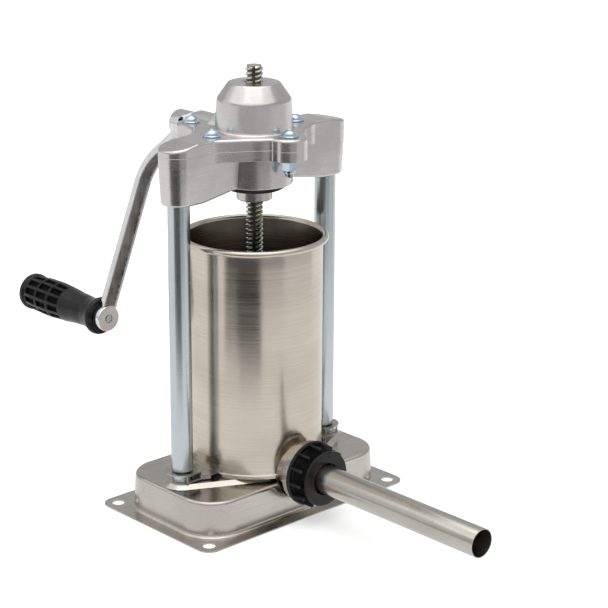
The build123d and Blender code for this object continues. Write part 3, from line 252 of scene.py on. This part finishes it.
def add_piece(name, body, cad_nodes, slot, parts, material=None, angle=32.0, second=None, marked=None):
    """Object from (verts, faces) parts in mm; it rides on a body and stands for CAD nodes.

    Faces whose centre, in mm, passes the marked test take the second material.
    """
    verts = []
    faces = []
    for part_verts, part_faces in parts:
        shift = len(verts)
        verts += [Vector(v) * MM for v in part_verts]
        faces += [[i + shift for i in face] for face in part_faces]
    mesh = bpy.data.meshes.new(name)
    mesh.from_pydata(verts, [], faces)
    obj = bpy.data.objects.new(name, mesh)
    bpy.context.scene.collection.objects.link(obj)
    mesh.materials.append(MATERIALS[material or slot])
    finish_mesh(obj, angle)
    if second:
        mesh.materials.append(MATERIALS[second])
        for face in mesh.polygons:
            face.material_index = int(marked(face.center / MM))
    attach(obj, body)
    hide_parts(*cad_nodes)
    return obj


def rounded(points, radius, steps=4):
    """Closed outline with rounded corners; a third value in a point is its own radius."""
    out = []
    count = len(points)
    for i, point in enumerate(points):
        r = point[2] if len(point) > 2 else radius
        corner = Vector(point[:2])
        back = Vector(points[i - 1][:2]) - corner
        ahead = Vector(points[(i + 1) % count][:2]) - corner
        half = back.angle(ahead) / 2
        if r <= 0 or half > 1.53:
            out.append(tuple(corner))
            continue
        reach = min(r / math.tan(half), 0.45 * back.length, 0.45 * ahead.length)
        r = reach * math.tan(half)
        centre = corner + (back.normalized() + ahead.normalized()).normalized() * (r / math.sin(half))
        start = corner + back.normalized() * reach - centre
        end = corner + ahead.normalized() * reach - centre
        turn = start.angle_signed(end)
        for k in range(steps + 1):
            a = -turn * k / steps
            c, s = math.cos(a), math.sin(a)
            out.append(tuple(centre + Vector((start.x * c - start.y * s, start.x * s + start.y * c))))
    return out


def grid_faces(rows, columns, wrap_rows, wrap_columns):
    """Quads of a grid of points, row by row."""
    faces = []
    for i in range(rows if wrap_rows else rows - 1):
        for j in range(columns if wrap_columns else columns - 1):
            a = i * columns + j
            b = i * columns + (j + 1) % columns
            c = (i + 1) % rows * columns + (j + 1) % columns
            d = (i + 1) % rows * columns + j
            faces.append((a, b, c, d))
    return faces


def lathe(outline, axis="z", at=(0, 0, 0), segments=96):
    """Closed (radius, height) outline turned about an axis through a point."""
    verts = []
    for r, h in outline:
        for k in range(segments):
            c, s = math.cos(TAU * k / segments), math.sin(TAU * k / segments)
            if axis == "z":
                verts.append((at[0] + r * c, at[1] + r * s, h))
            else:
                verts.append((at[0] + r * c, h, at[2] + r * s))
    return verts, grid_faces(len(outline), segments, True, True)


def hex_radius(angle, flats):
    """Radius of a hexagon at an angle, given across its flats."""
    return flats / 2 / math.cos((angle + math.pi / 6) % (math.pi / 3) - math.pi / 6)


def spun(rows, at, segments=72, turn=0.0):
    """Closed stack of rings about Z: each row is (height, radius function of angle)."""
    verts = []
    for height, radius in rows:
        for k in range(segments):
            angle = TAU * k / segments
            r = radius(angle)
            verts.append((at[0] + r * math.cos(angle + turn), at[1] + r * math.sin(angle + turn), height))
    faces = grid_faces(len(rows), segments, False, True)
    faces.append(tuple(range(segments)))
    faces.append(tuple((len(rows) - 1) * segments + k for k in reversed(range(segments))))
    return verts, faces


def loose_object(shape):
    """Object of a closed (verts, faces) shape in mm, for cutting."""
    mesh = bpy.data.meshes.new("loose")
    mesh.from_pydata([Vector(v) * MM for v in shape[0]], [], shape[1])
    obj = bpy.data.objects.new("loose", mesh)
    bpy.context.scene.collection.objects.link(obj)
    finish_mesh(obj)
    return obj


def cut(shape, tool):
    """Closed (verts, faces) shape with another one removed from it."""
    body, cutter = loose_object(shape), loose_object(tool)
    mod = body.modifiers.new("cut", "BOOLEAN")
    mod.operation = "DIFFERENCE"
    mod.solver = "EXACT"
    mod.object = cutter
    bpy.context.view_layer.update()
    result = bpy.data.meshes.new_from_object(body.evaluated_get(bpy.context.evaluated_depsgraph_get()))
    verts = [v.co / MM for v in result.vertices]
    faces = [tuple(face.vertices) for face in result.polygons]
    for item in (body, cutter):
        bpy.data.objects.remove(item)
    bpy.data.meshes.remove(result)
    return verts, faces


# ---------------------------------------------------------------- cylinder
SHELL_R, WALL, RIM, ROLL = 63.0, 1.0, 65.3, 3.0
INNER_R, ROLL_Z = SHELL_R - WALL, 253.7
SHELL_BOTTOM, BEAD_R, BEAD_TOP = 40.0, 64.0, 42.9
SPOUT_Z, SPOUT_HOLE_R = 43.3, 23.5
roll_angles = [math.radians(d) for d in range(-150, 181, 15)]
roll = [(RIM + ROLL * math.cos(a), ROLL_Z + ROLL * math.sin(a)) for a in roll_angles]
shell_outline = [(SHELL_R, BEAD_TOP), *[(SHELL_R, 45 + 12 * k) for k in range(18)]]
shell_outline += roll[:-1] + [(INNER_R, ROLL_Z), (INNER_R, 150), (INNER_R, SHELL_BOTTOM)]
shell_outline += rounded(
    [(INNER_R, SHELL_BOTTOM, 0), (BEAD_R, SHELL_BOTTOM), (BEAD_R, 42.4), (SHELL_R, BEAD_TOP, 0)], 0.8
)[1:-1]
spout_hole = lathe([(0.01, -80), (SPOUT_HOLE_R, -80), (SPOUT_HOLE_R, -20), (0.01, -20)], "y", (0, 0, SPOUT_Z))
shell = cut(lathe(shell_outline, segments=192), spout_hole)
# The inner wall, up to just under the rim, takes the dark inner steel: painted shade inside the cylinder.
add_piece(
    "Cylinder", "frame_root", ["cylinder_shell"], "brushed_steel", [shell], second="inner_steel_painted_shade",
    marked=lambda p: math.hypot(p.x, p.y) < SHELL_R - 0.6 and p.z < 252.0
)


# ---------------------------------------------------------------- columns
for side, x in (("left", -89.0), ("right", 89.0)):
    outline = rounded(
        [(3.9, 38.4, 0), (9.2, 38.4), (9.2, 46.0), (6.0, 46.0, 0), (6.0, 48.6, 0), (10.0, 48.6),
         (10.0, 120, 0), (10.0, 200, 0), (10.0, 299, 0), (10.0, 335.0), (3.9, 335.0, 0)], 0.5
    )
    add_piece(
        f"Column_{side}", "frame_root", [f"column_{side}"], "column_steel",
        [lathe(outline, "z", (x, 0, 0), 72)]
    )


# ---------------------------------------------------------------- lead screw
PITCH, LEAD = 4.233, 8.467
SCREW_LOW, SCREW_TOP = 64.0, 411.0
CREST, ROOT = 7.98, 6.15
KEY = math.radians(227.0)


def screw_rows():
    """(phase in one pitch, radius) of the thread's outline."""
    return [(0.0, ROOT), (0.24, ROOT), (0.30, ROOT + 0.35), (0.46, CREST - 0.25), (0.52, CREST),
            (0.76, CREST), (0.82, CREST - 0.25), (0.98, ROOT + 0.35)]


def lead_screw():
    """Two-start thread with a keyway, and plain ends."""
    columns = [KEY + math.radians(d) for d in (-10.2, -9.6, 0, 9.6, 10.2)]
    columns += [KEY + math.radians(10.2 + (360 - 20.4) * k / 52) for k in range(1, 52)]
    outline = screw_rows()
    turns = int((SCREW_TOP - SCREW_LOW) / PITCH) + 6
    verts = []
    rows = 0
    for i in range(turns):
        for phase, radius in outline:
            rows += 1
            for angle in columns:
                z = SCREW_LOW + (i - 3 + phase) * PITCH + LEAD * (angle - KEY) / TAU
                z = min(max(z, SCREW_LOW), SCREW_TOP)
                r = min(radius, CREST - 1.3 + (SCREW_TOP - z))
                if abs(angle - KEY) < math.radians(9.9):
                    r = min(r, 6.1)
                verts.append((r * math.cos(angle), r * math.sin(angle), z))
    count = len(columns)
    faces = []
    for i in range(rows - 1):
        for j in range(count):
            k = (j + 1) % count
            if k:
                faces.append((i * count + j, i * count + k, (i + 1) * count + k, (i + 1) * count + j))
    step = 2 * len(outline)
    for i in range(rows - 1 - step):
        last = i * count + count - 1
        first = (i + step) * count
        faces.append((last, first, first + count, last + count))
    return verts, faces


screw_parts = [lead_screw()]
screw_parts.append(
    lathe([(0.01, 47.0), (4.4, 47.0), (5.0, 47.8), (5.0, 57.0), (8.0, 57.0), (8.0, 64.2), (0.01, 64.2)])
)
screw_parts.append(lathe([(0.01, 410.9), (6.65, 410.9), (6.65, SCREW_TOP), (0.01, SCREW_TOP)], segments=56))
# The thread roots take the near-black root steel: painted shade in the thread grooves.
add_piece(
    "LeadScrew", "piston_unit", ["lead_screw"], "screw_steel", screw_parts, second="screw_root_painted_shade",
    marked=lambda p: SCREW_LOW < p.z < SCREW_TOP - 0.6 and math.hypot(p.x, p.y) < ROOT + 0.25
)


# ---------------------------------------------------------------- cover screws and nuts
SCREW_PLACES = [(0, -47), (50, 0), (-50, 0), (25, 58), (-25, 58)]
COVER_TOP, LOBE_BOTTOM = 353.5, 333.2


def button_screw(x, y, turn):
    """Flanged button head with a hex socket, on a plain shank with a chamfered tip."""
    def circle(r):
        return lambda angle: r
    rows = [(317.1, circle(3.1)), (318.0, circle(4.0)), (COVER_TOP, circle(4.0)), (COVER_TOP, circle(7.9)),
            (COVER_TOP + 0.4, circle(8.3)), (COVER_TOP + 1.1, circle(8.3)), (COVER_TOP + 1.5, circle(7.9)),
            (COVER_TOP + 1.6, circle(6.3))]
    for k in range(1, 13):
        height = 4.3 * math.sin(math.pi / 2 * k / 12)
        r = 6.2 * (1 - (height / 4.4) ** 2.3) ** (1 / 2.3)
        if r > 2.8:
            rows.append((COVER_TOP + 1.6 + height, circle(r)))
    rows.append((COVER_TOP + 5.95, circle(2.6)))
    rows.append((COVER_TOP + 5.6, lambda angle: hex_radius(angle, 4.0)))
    rows.append((COVER_TOP + 2.9, lambda angle: hex_radius(angle, 3.9)))
    return spun(rows, (x, y), 60, turn)


def hex_nut(x, y, low, high, flats, bore, turn):
    """Chamfered hex nut with a round bore."""
    chamfer = flats / 2 + 0.25

    def at(height):
        inset = min(height - low, high - height)
        return lambda angle: min(hex_radius(angle, flats), chamfer + inset * 1.7)
    heights = [low, low + 0.35, low + 0.8, high - 0.8, high - 0.35, high]
    rows = [(low, lambda a: bore), *[(height, at(height)) for height in heights], (high, lambda a: bore)]
    verts, faces = spun(rows, (x, y), 72, turn)
    faces = faces[:-2] + grid_faces(2, 72, False, True)
    angles = [TAU * k / 72 + turn for k in range(72)]
    inner = [(x + bore * math.cos(a), y + bore * math.sin(a), h) for h in (low, high) for a in angles]
    bore_faces = [tuple(i + len(verts) for i in face) for face in grid_faces(2, 72, False, True)]
    return verts + inner, faces[: -72] + bore_faces


NUT_BORE, COLLAR_R = 4.05, 5.3
COLLAR_LOW, COLLAR_HIGH = LOBE_BOTTOM - 12.8, LOBE_BOTTOM - 9.5
nut_collar = rounded(
    [(NUT_BORE, COLLAR_LOW), (COLLAR_R, COLLAR_LOW), (COLLAR_R, COLLAR_HIGH, 0), (NUT_BORE, COLLAR_HIGH, 0)],
    0.8, 3
)
add_piece(
    "CoverScrews", "frame_root", ["cover_screws"], "zinc_steel",
    [button_screw(x, y, 0.4 + 0.9 * k) for k, (x, y) in enumerate(SCREW_PLACES)], angle=28
)
add_piece(
    "CoverNuts", "frame_root", ["cover_nuts"], "zinc_steel",
    [hex_nut(x, y, LOBE_BOTTOM - 9.6, LOBE_BOTTOM, 12.98, NUT_BORE, 0.3 + k)
     for k, (x, y) in enumerate(SCREW_PLACES) if y]
    + [lathe(nut_collar, "z", (x, y, 0), 60) for x, y in SCREW_PLACES if y], angle=25
)


# ---------------------------------------------------------------- ring nut
NUT_REAR, NUT_FRONT = -76.3, -98.0


def nut_lug(angle):
    """Round-topped rib with a domed front end, radial at an angle in XZ."""
    half, top, foot = 1.6, 29.35, 24.0
    quarter = [math.pi / 2 * k / 5 for k in range(6)]
    stations = [(-77.5, 1.0)] + [(-91.3 - 1.65 * math.sin(a), math.cos(a)) for a in quarter]
    round_top = [math.radians(d) for d in range(-75, 90, 15)]
    profile = [(-half - 0.25, foot), (-half, top - half)]
    profile += [(half * math.sin(t), top - half + half * math.cos(t)) for t in round_top]
    profile += [(half, top - half), (half + 0.25, foot)]
    verts = []
    for y, size in stations:
        for across, height in profile:
            across *= max(size, 0.02)
            height = foot + (height - foot) * (0.72 + 0.28 * size)
            c, s = math.cos(angle), math.sin(angle)
            verts.append((height * c - across * s, y, SPOUT_Z + height * s + across * c))
    count = len(profile)
    faces = grid_faces(len(stations), count, False, True)
    faces.append(tuple(range(count)))
    faces.append(tuple(reversed(range(len(verts) - count, len(verts)))))
    return verts, faces


nut_outline = rounded(
    [(23.0, NUT_REAR), (30.45, NUT_REAR), (30.45, NUT_REAR - 2.4), (29.2, NUT_REAR - 3.2),
     (25.2, NUT_REAR - 3.0), (25.2, -95.2), (25.85, -95.6), (25.85, NUT_FRONT), (15.0, NUT_FRONT),
     (15.0, -94.0, 0), (23.0, -94.0, 0)], 0.7, 3
)
nut_parts = [lathe(nut_outline, "y", (0, 0, SPOUT_Z), 144)]
nut_parts += [nut_lug(math.radians(5 + 30 * k)) for k in range(12)]
# The core between the ribs and the bore take the blacker, duller plastic: painted shade between the ribs and
# inside the nut.
add_piece(
    "RingNut", "nut", ["ring_nut"], "black_plastic", nut_parts, angle=40, second="black_recess_painted_shade",
    marked=lambda p: math.hypot(p.x, p.z - SPOUT_Z) < 25.4 and NUT_FRONT + 3.0 < p.y < NUT_REAR - 3.0
)


# ---------------------------------------------------------------- stuffing tube
TUBE_R, TUBE_BORE_R = 13.1, 12.3
tube_outline = rounded(
    [(20.0, -92.5), (20.0, -94.0), (14.5, -94.0, 1.2), (13.4, -98.5, 4), (TUBE_R, -104.5, 4),
     (TUBE_R, -160, 0), (TUBE_R, -220, 0), (TUBE_R, -287.2, 0.25), (TUBE_BORE_R, -287.2, 0.25),
     (TUBE_BORE_R, -104.5, 4), (12.6, -98.5, 4), (13.7, -92.5, 0.3)], 0.5, 4
)
add_piece(
    "StuffingTube", "tube", ["stuffing_tube"], "tube_steel", [lathe(tube_outline, "y", (0, 0, SPOUT_Z), 128)]
)


# ---------------------------------------------------------------- crank arm
LEAN = math.radians(21.5)
ALONG = Vector((-math.sin(LEAN), 0, -math.cos(LEAN)))
ACROSS = Vector((math.cos(LEAN), 0, -math.sin(LEAN)))
AXLE = Vector((0, 0, 342))
GRIP_CENTRE = AXLE + ALONG * 197
BEND_R, BEND_END, FAR_Y = 48.0, 65.1, 133.1
RISE = math.radians(42.2)


def crank_path():
    """Stations down the arm: (point, direction of the arm's near face, distance)."""
    centre_y = FAR_Y - BEND_R
    start = (BEND_END - BEND_R * math.sin(RISE), centre_y + BEND_R * math.cos(RISE))
    path = []
    for k in range(12):
        s = 41.0 * (1 - k / 12)
        path.append((start[0] - s * math.cos(RISE), start[1] - s * math.sin(RISE), RISE))
    for k in range(15):
        a = RISE * (1 - k / 14)
        path.append((BEND_END - BEND_R * math.sin(a), centre_y + BEND_R * math.cos(a), a))
    for k in range(1, 45):
        path.append((BEND_END + (196.5 - BEND_END) * k / 44, FAR_Y, 0.0))
    return path


def in_shaded_web(p):
    """True for points of the arm that lie in the recess of its near face, which takes painted shade and a
    painted dark reflection.
    """
    rel = p - AXLE
    if not -6.9 < rel.dot(ACROSS) < 4.9:
        return False
    r, y = rel.dot(ALONG), rel.y
    bend = Vector((r - BEND_END, y - (FAR_Y - BEND_R)))
    turn = math.atan2(-bend.x, bend.y)
    if turn > RISE:
        bend = Vector((bend.dot(Vector((-math.sin(RISE), math.cos(RISE)))), 0))
    depth = y - FAR_Y if r > BEND_END else bend.length - BEND_R
    return -3.4 < depth < 0.0 and 8.0 < r < 183.5


def crank_arm():
    """Bar with rounded edges and a recessed web on its near face that fades out at both ends."""
    half_w, half_t, deep = 8.0, 3.6, 2.2
    outline = rounded(
        [(-half_w, -half_t, 0.6), (-7.1, -half_t, 0.3), (-6.7, -half_t + deep, 0.4),
         (4.6, -half_t + deep, 0.5), (5.2, -half_t, 0.5), (half_w, -half_t, 1.2), (half_w, half_t, 1.3),
         (-half_w, half_t, 1.3)], 1.0, 4
    )
    path = crank_path()
    verts = []
    travelled = 0.0
    last = None
    for r, y, a in path:
        here = Vector((r, y))
        travelled += (here - last).length if last else 0.0
        last = here
        fade = max(0.0, min(1.0, (travelled - 36) / 7, (211 - travelled) / 4))
        depth = 0.02 + 0.98 * math.sin(fade * math.pi / 2)
        normal = ALONG * -math.sin(a) + Vector((0, math.cos(a), 0))
        centre = AXLE + ALONG * r + Vector((0, y, 0))
        for across, out in outline:
            if -7.2 < across < 5.3 and out < 0:
                out = -half_t + (out + half_t) * depth
            verts.append(centre + ACROSS * across + normal * out)
    count = len(outline)
    faces = grid_faces(len(path), count, False, True)
    faces.append(tuple(range(count)))
    faces.append(tuple(reversed(range(len(verts) - count, len(verts)))))
    return verts, faces


hub = rounded([(7.0, 84.0), (13.0, 84.0), (13.0, 106.0), (7.0, 106.0)], 1.3, 4)
boss = rounded(
    [(4.3, 127.0, 0.2), (12.4, 127.0), (12.4, 136.8), (3.25, 136.8, 0.2), (3.25, 129.2, 0), (4.3, 129.2, 0)],
    0.9, 4
)
HOLE_WAY = Vector((math.cos(math.radians(150)), 0, math.sin(math.radians(150))))
HOLE_SIDE = Vector((-HOLE_WAY.z, 0, HOLE_WAY.x))
HOLE_R, HOLE_Y, HOLE_SIDES = 3.02, 90.0, 32
hole = []
for reach in (6.0, 15.0):
    for k in range(HOLE_SIDES):
        a = TAU * k / HOLE_SIDES
        ring = HOLE_SIDE * (HOLE_R * math.cos(a)) + Vector((0, HOLE_R * math.sin(a), 0))
        hole.append(AXLE + Vector((0, HOLE_Y, 0)) + HOLE_WAY * reach + ring)
hole_faces = grid_faces(2, HOLE_SIDES, False, True)
hole_faces += [tuple(range(HOLE_SIDES)), tuple(reversed(range(HOLE_SIDES, 2 * HOLE_SIDES)))]
hub_shape = cut(lathe(hub, "y", AXLE, 96), (hole, hole_faces))
# The recess of the arm's near face takes the dark web metal: painted shade and a painted dark reflection in
# the recess.
add_piece(
    "CrankArm", "crank", ["crank_arm"], "cast_aluminium",
    [crank_arm(), hub_shape, lathe(boss, "y", GRIP_CENTRE, 96)], "crank_aluminium",
    second="crank_web_painted_shade", marked=in_shaded_web
)


# ---------------------------------------------------------------- grip
GRIP_CELLS = 12
GRIP_START, GRIP_BARREL_END = 137.3, 243.0
WINDOW_DEPTH = 2.8


def barrel_radius(y):
    """Smooth barrel outline through a few stations."""
    stations = [(GRIP_START, 17.2), (139.2, 18.1), (141, 18.2), (144.5, 16.9), (148, 15.5), (156, 14.5),
                (170, 15.2), (190, 17), (210, 18.1), (230, 17.7), (243, 16.6)]
    for (y0, r0), (y1, r1) in zip(stations, stations[1:]):
        if y <= y1:
            t = (y - y0) / (y1 - y0)
            t = t * t * (3 - 2 * t) * 0.5 + t * 0.5
            return r0 + (r1 - r0) * t
    return stations[-1][1]


def window_depth(y, angle):
    """Depth of the moulded windows: three rings of recesses between thin ribs."""
    pitch, first = 18.4, 187.0
    if not first < y < first + 3 * pitch:
        return 0.0
    along = (y - first) % pitch
    turn = (angle / TAU * GRIP_CELLS + 0.2) % 1.0
    edge_y = min(along - 1.1, pitch - 1.1 - along)
    edge_a = min(turn - 0.16, 0.84 - turn) * 9.5
    inside = max(0.0, min(1.0, edge_y, edge_a))
    inside = inside * inside * (3 - 2 * inside)
    return WINDOW_DEPTH * inside


def grip():
    """Barrel with windows, a raised nose and an open far end."""
    columns = 240
    angles = [TAU * k / columns for k in range(columns)]

    def at(r, y, a):
        return GRIP_CENTRE.x + r * math.cos(a), y, GRIP_CENTRE.z + r * math.sin(a)
    ys = [GRIP_START + k * 0.5 for k in range(int((GRIP_BARREL_END - GRIP_START) / 0.5) + 1)]
    verts = [at(barrel_radius(y) - window_depth(y, a), y, a) for y in ys for a in angles]
    nose = rounded(
        [(16.6, GRIP_BARREL_END, 0), (17.9, 244.6), (17.9, 248.2, 1.4), (15.9, 250.4), (9.2, 250.4),
         (9.0, 249.0, 0), (9.0, 238.0, 0), (4.1, 238.0, 0), (4.1, GRIP_START, 0),
         (16.6, GRIP_START, 0)], 0.8, 4
    )
    verts += [at(r, y, a) for r, y in nose for a in angles]
    return verts, grid_faces(len(ys) + len(nose), columns, True, True)


def in_shaded_window(p):
    """True for points near the bottom of the grip's windows, which take painted shade."""
    reach = math.hypot(p.x - GRIP_CENTRE.x, p.z - GRIP_CENTRE.z)
    return 186.0 < p.y < 243.0 and 10.0 < reach < barrel_radius(p.y) - 1.0


# The window bottoms take the blacker, duller plastic: painted shade in the windows.
add_piece(
    "Grip", "grip_body", ["grip"], "black_plastic", [grip()], angle=40,
    second="black_recess_painted_shade", marked=in_shaded_window
)


# ---------------------------------------------------------------- the other CAD nodes
for name, obj in nodes.items():
    obj.data.materials.clear()
    obj.data.materials.append(MATERIALS[slot_of[name]])


# ---------------------------------------------------------------- floor, light and camera
def plane(name, centre, size, material):
    """Flat rectangle in metres."""
    mesh = bpy.data.meshes.new(name)
    w, h = size[0] / 2, size[1] / 2
    mesh.from_pydata([(-w, -h, 0), (w, -h, 0), (w, h, 0), (-w, h, 0)], [], [(0, 1, 2, 3)])
    obj = bpy.data.objects.new(name, mesh)
    bpy.context.scene.collection.objects.link(obj)
    obj.location = centre
    mesh.materials.append(material)
    return obj


def matte(name, colour, rough=0.6, lit=0.0):
    """Plain surface with a faint mottle, and an even glow of its own if wanted."""
    mat, tree, bsdf = new_material(name)
    spots = streaks(tree, (4, 4, 4), 3.0, 0.5)
    paler = tuple(min(1.0, c * 1.02) for c in colour)
    tree.links.new(blend_colour(tree, spots, colour, paler), bsdf.inputs["Base Color"])
    bsdf.inputs["Roughness"].default_value = rough
    bsdf.inputs["Emission Color"].default_value = (1, 1, 1, 1)
    bsdf.inputs["Emission Strength"].default_value = lit
    return mat


def area(name, place, aim, size, power):
    """Soft box that faces a point."""
    light = bpy.data.lights.new(name, "AREA")
    light.shape = "RECTANGLE"
    light.size, light.size_y = size
    light.energy = power
    obj = bpy.data.objects.new(name, light)
    bpy.context.scene.collection.objects.link(obj)
    obj.location = place
    obj.rotation_euler = (Vector(place) - Vector(aim)).to_track_quat("Z", "Y").to_euler()
    return obj


HEADING, PITCH_DOWN, ROLL = math.radians(43.28), math.radians(17.55), math.radians(0.34)
TARGET = Vector((45.75 * math.cos(HEADING), -45.75 * math.sin(HEADING), 188.12)) * MM
SENSOR, FOCAL_LENGTH, DISTANCE = 36.0, 113.322, 1.76973
right = Vector((math.cos(HEADING), -math.sin(HEADING), 0))
level_way = Vector((math.sin(HEADING), math.cos(HEADING), 0))
forward = level_way * math.cos(PITCH_DOWN) - Vector((0, 0, math.sin(PITCH_DOWN)))
up = right.cross(forward)
camera_data = bpy.data.cameras.new("Camera")
camera_data.sensor_width = SENSOR
camera_data.lens = FOCAL_LENGTH
camera_data.clip_end = 50.0
camera = bpy.data.objects.new("Camera", camera_data)
bpy.context.scene.collection.objects.link(camera)
tilted_right = right * math.cos(ROLL) + up * math.sin(ROLL)
tilted_up = up * math.cos(ROLL) - right * math.sin(ROLL)
turned = Matrix((tilted_right, tilted_up, -forward)).transposed().to_4x4()
camera.matrix_world = Matrix.Translation(TARGET - forward * DISTANCE) @ turned
bpy.context.scene.camera = camera

floor = plane("Floor", (0, 0, -0.0002), (14, 14), matte("Floor", (0.93, 0.93, 0.93), 0.6, 0.35))
floor.visible_glossy = False

CARD_HEIGHT, CARD_STEPS = 0.001, 16


def glow(name, level):
    """Material that gives off an even grey, whatever light falls on it."""
    mat = bpy.data.materials.new(name)
    mat.use_nodes = True
    tree = mat.node_tree
    tree.nodes.clear()
    out = tree.nodes.new("ShaderNodeOutputMaterial")
    emission = tree.nodes.new("ShaderNodeEmission")
    emission.inputs["Color"].default_value = (level, level, level, 1)
    tree.links.new(emission.outputs["Emission"], out.inputs["Surface"])
    return mat


def only_reflected(obj):
    """Hides an object from the camera and from diffuse light, and stops its shadow."""
    obj.visible_camera = False
    obj.visible_diffuse = False
    obj.visible_shadow = False


def sector(name, near, far, start, end, level):
    """Flat card over part of the floor, between two distances and two bearings from the camera's side.

    It shows only in reflections.
    """
    verts = []
    for k in range(CARD_STEPS + 1):
        a = math.radians(start + (end - start) * k / CARD_STEPS)
        way = right * math.sin(a) - level_way * math.cos(a)
        verts += [(*(way * distance).xy, CARD_HEIGHT) for distance in (near, far)]
    faces = [(2 * k, 2 * k + 1, 2 * k + 3, 2 * k + 2) for k in range(CARD_STEPS)]
    mesh = bpy.data.meshes.new(name)
    mesh.from_pydata(verts, [], faces)
    obj = bpy.data.objects.new(name, mesh)
    bpy.context.scene.collection.objects.link(obj)
    mesh.materials.append(glow(name, level))
    only_reflected(obj)


mirrored_floor = plane("MirroredFloor", (0, 0, -0.0006), (14, 14), glow("MirroredFloor", 0.98))
only_reflected(mirrored_floor)
CARDS = [
    ("CardFringe", 0.455, 0.53, -22, 12, 0.50),
    ("CardDark", 0.53, 0.8, -27, 12, 0.04),
    ("CardDarkLeft", 0.53, 0.8, -47, -27, 0.30),
    ("CardDarkFar", 0.8, 3.0, -47, 10, 0.04),
    ("CardGreyRight", 0.8, 3.0, 10, 50, 0.30),
    ("CardPaleRight", 0.8, 3.0, 50, 110, 0.62),
]
for card in CARDS:
    sector(*card)
sky = bpy.data.lights.new("SkyPanel", "SUN")
sky.energy = 1.4
sky.angle = math.radians(105)
sky_object = bpy.data.objects.new("SkyPanel", sky)
bpy.context.scene.collection.objects.link(sky_object)
sky_object.rotation_euler = (math.radians(8), math.radians(-14), 0)
area("KeyTop", (-0.1, -0.1, 1.9), (0, 0, 0.2), (1.3, 1.3), 6)
area("KeyLeft", (-1.25, 1.35, 1.0), (0, 0, 0.3), (1.5, 1.3), 2.2)

world = bpy.data.worlds.new("World")
bpy.context.scene.world = world
world.use_nodes = True
background = world.node_tree.nodes["Background"]
background.inputs["Color"].default_value = (1, 1, 1, 1)
background.inputs["Strength"].default_value = 0.52
bpy.context.scene.view_settings.view_transform = "Standard"
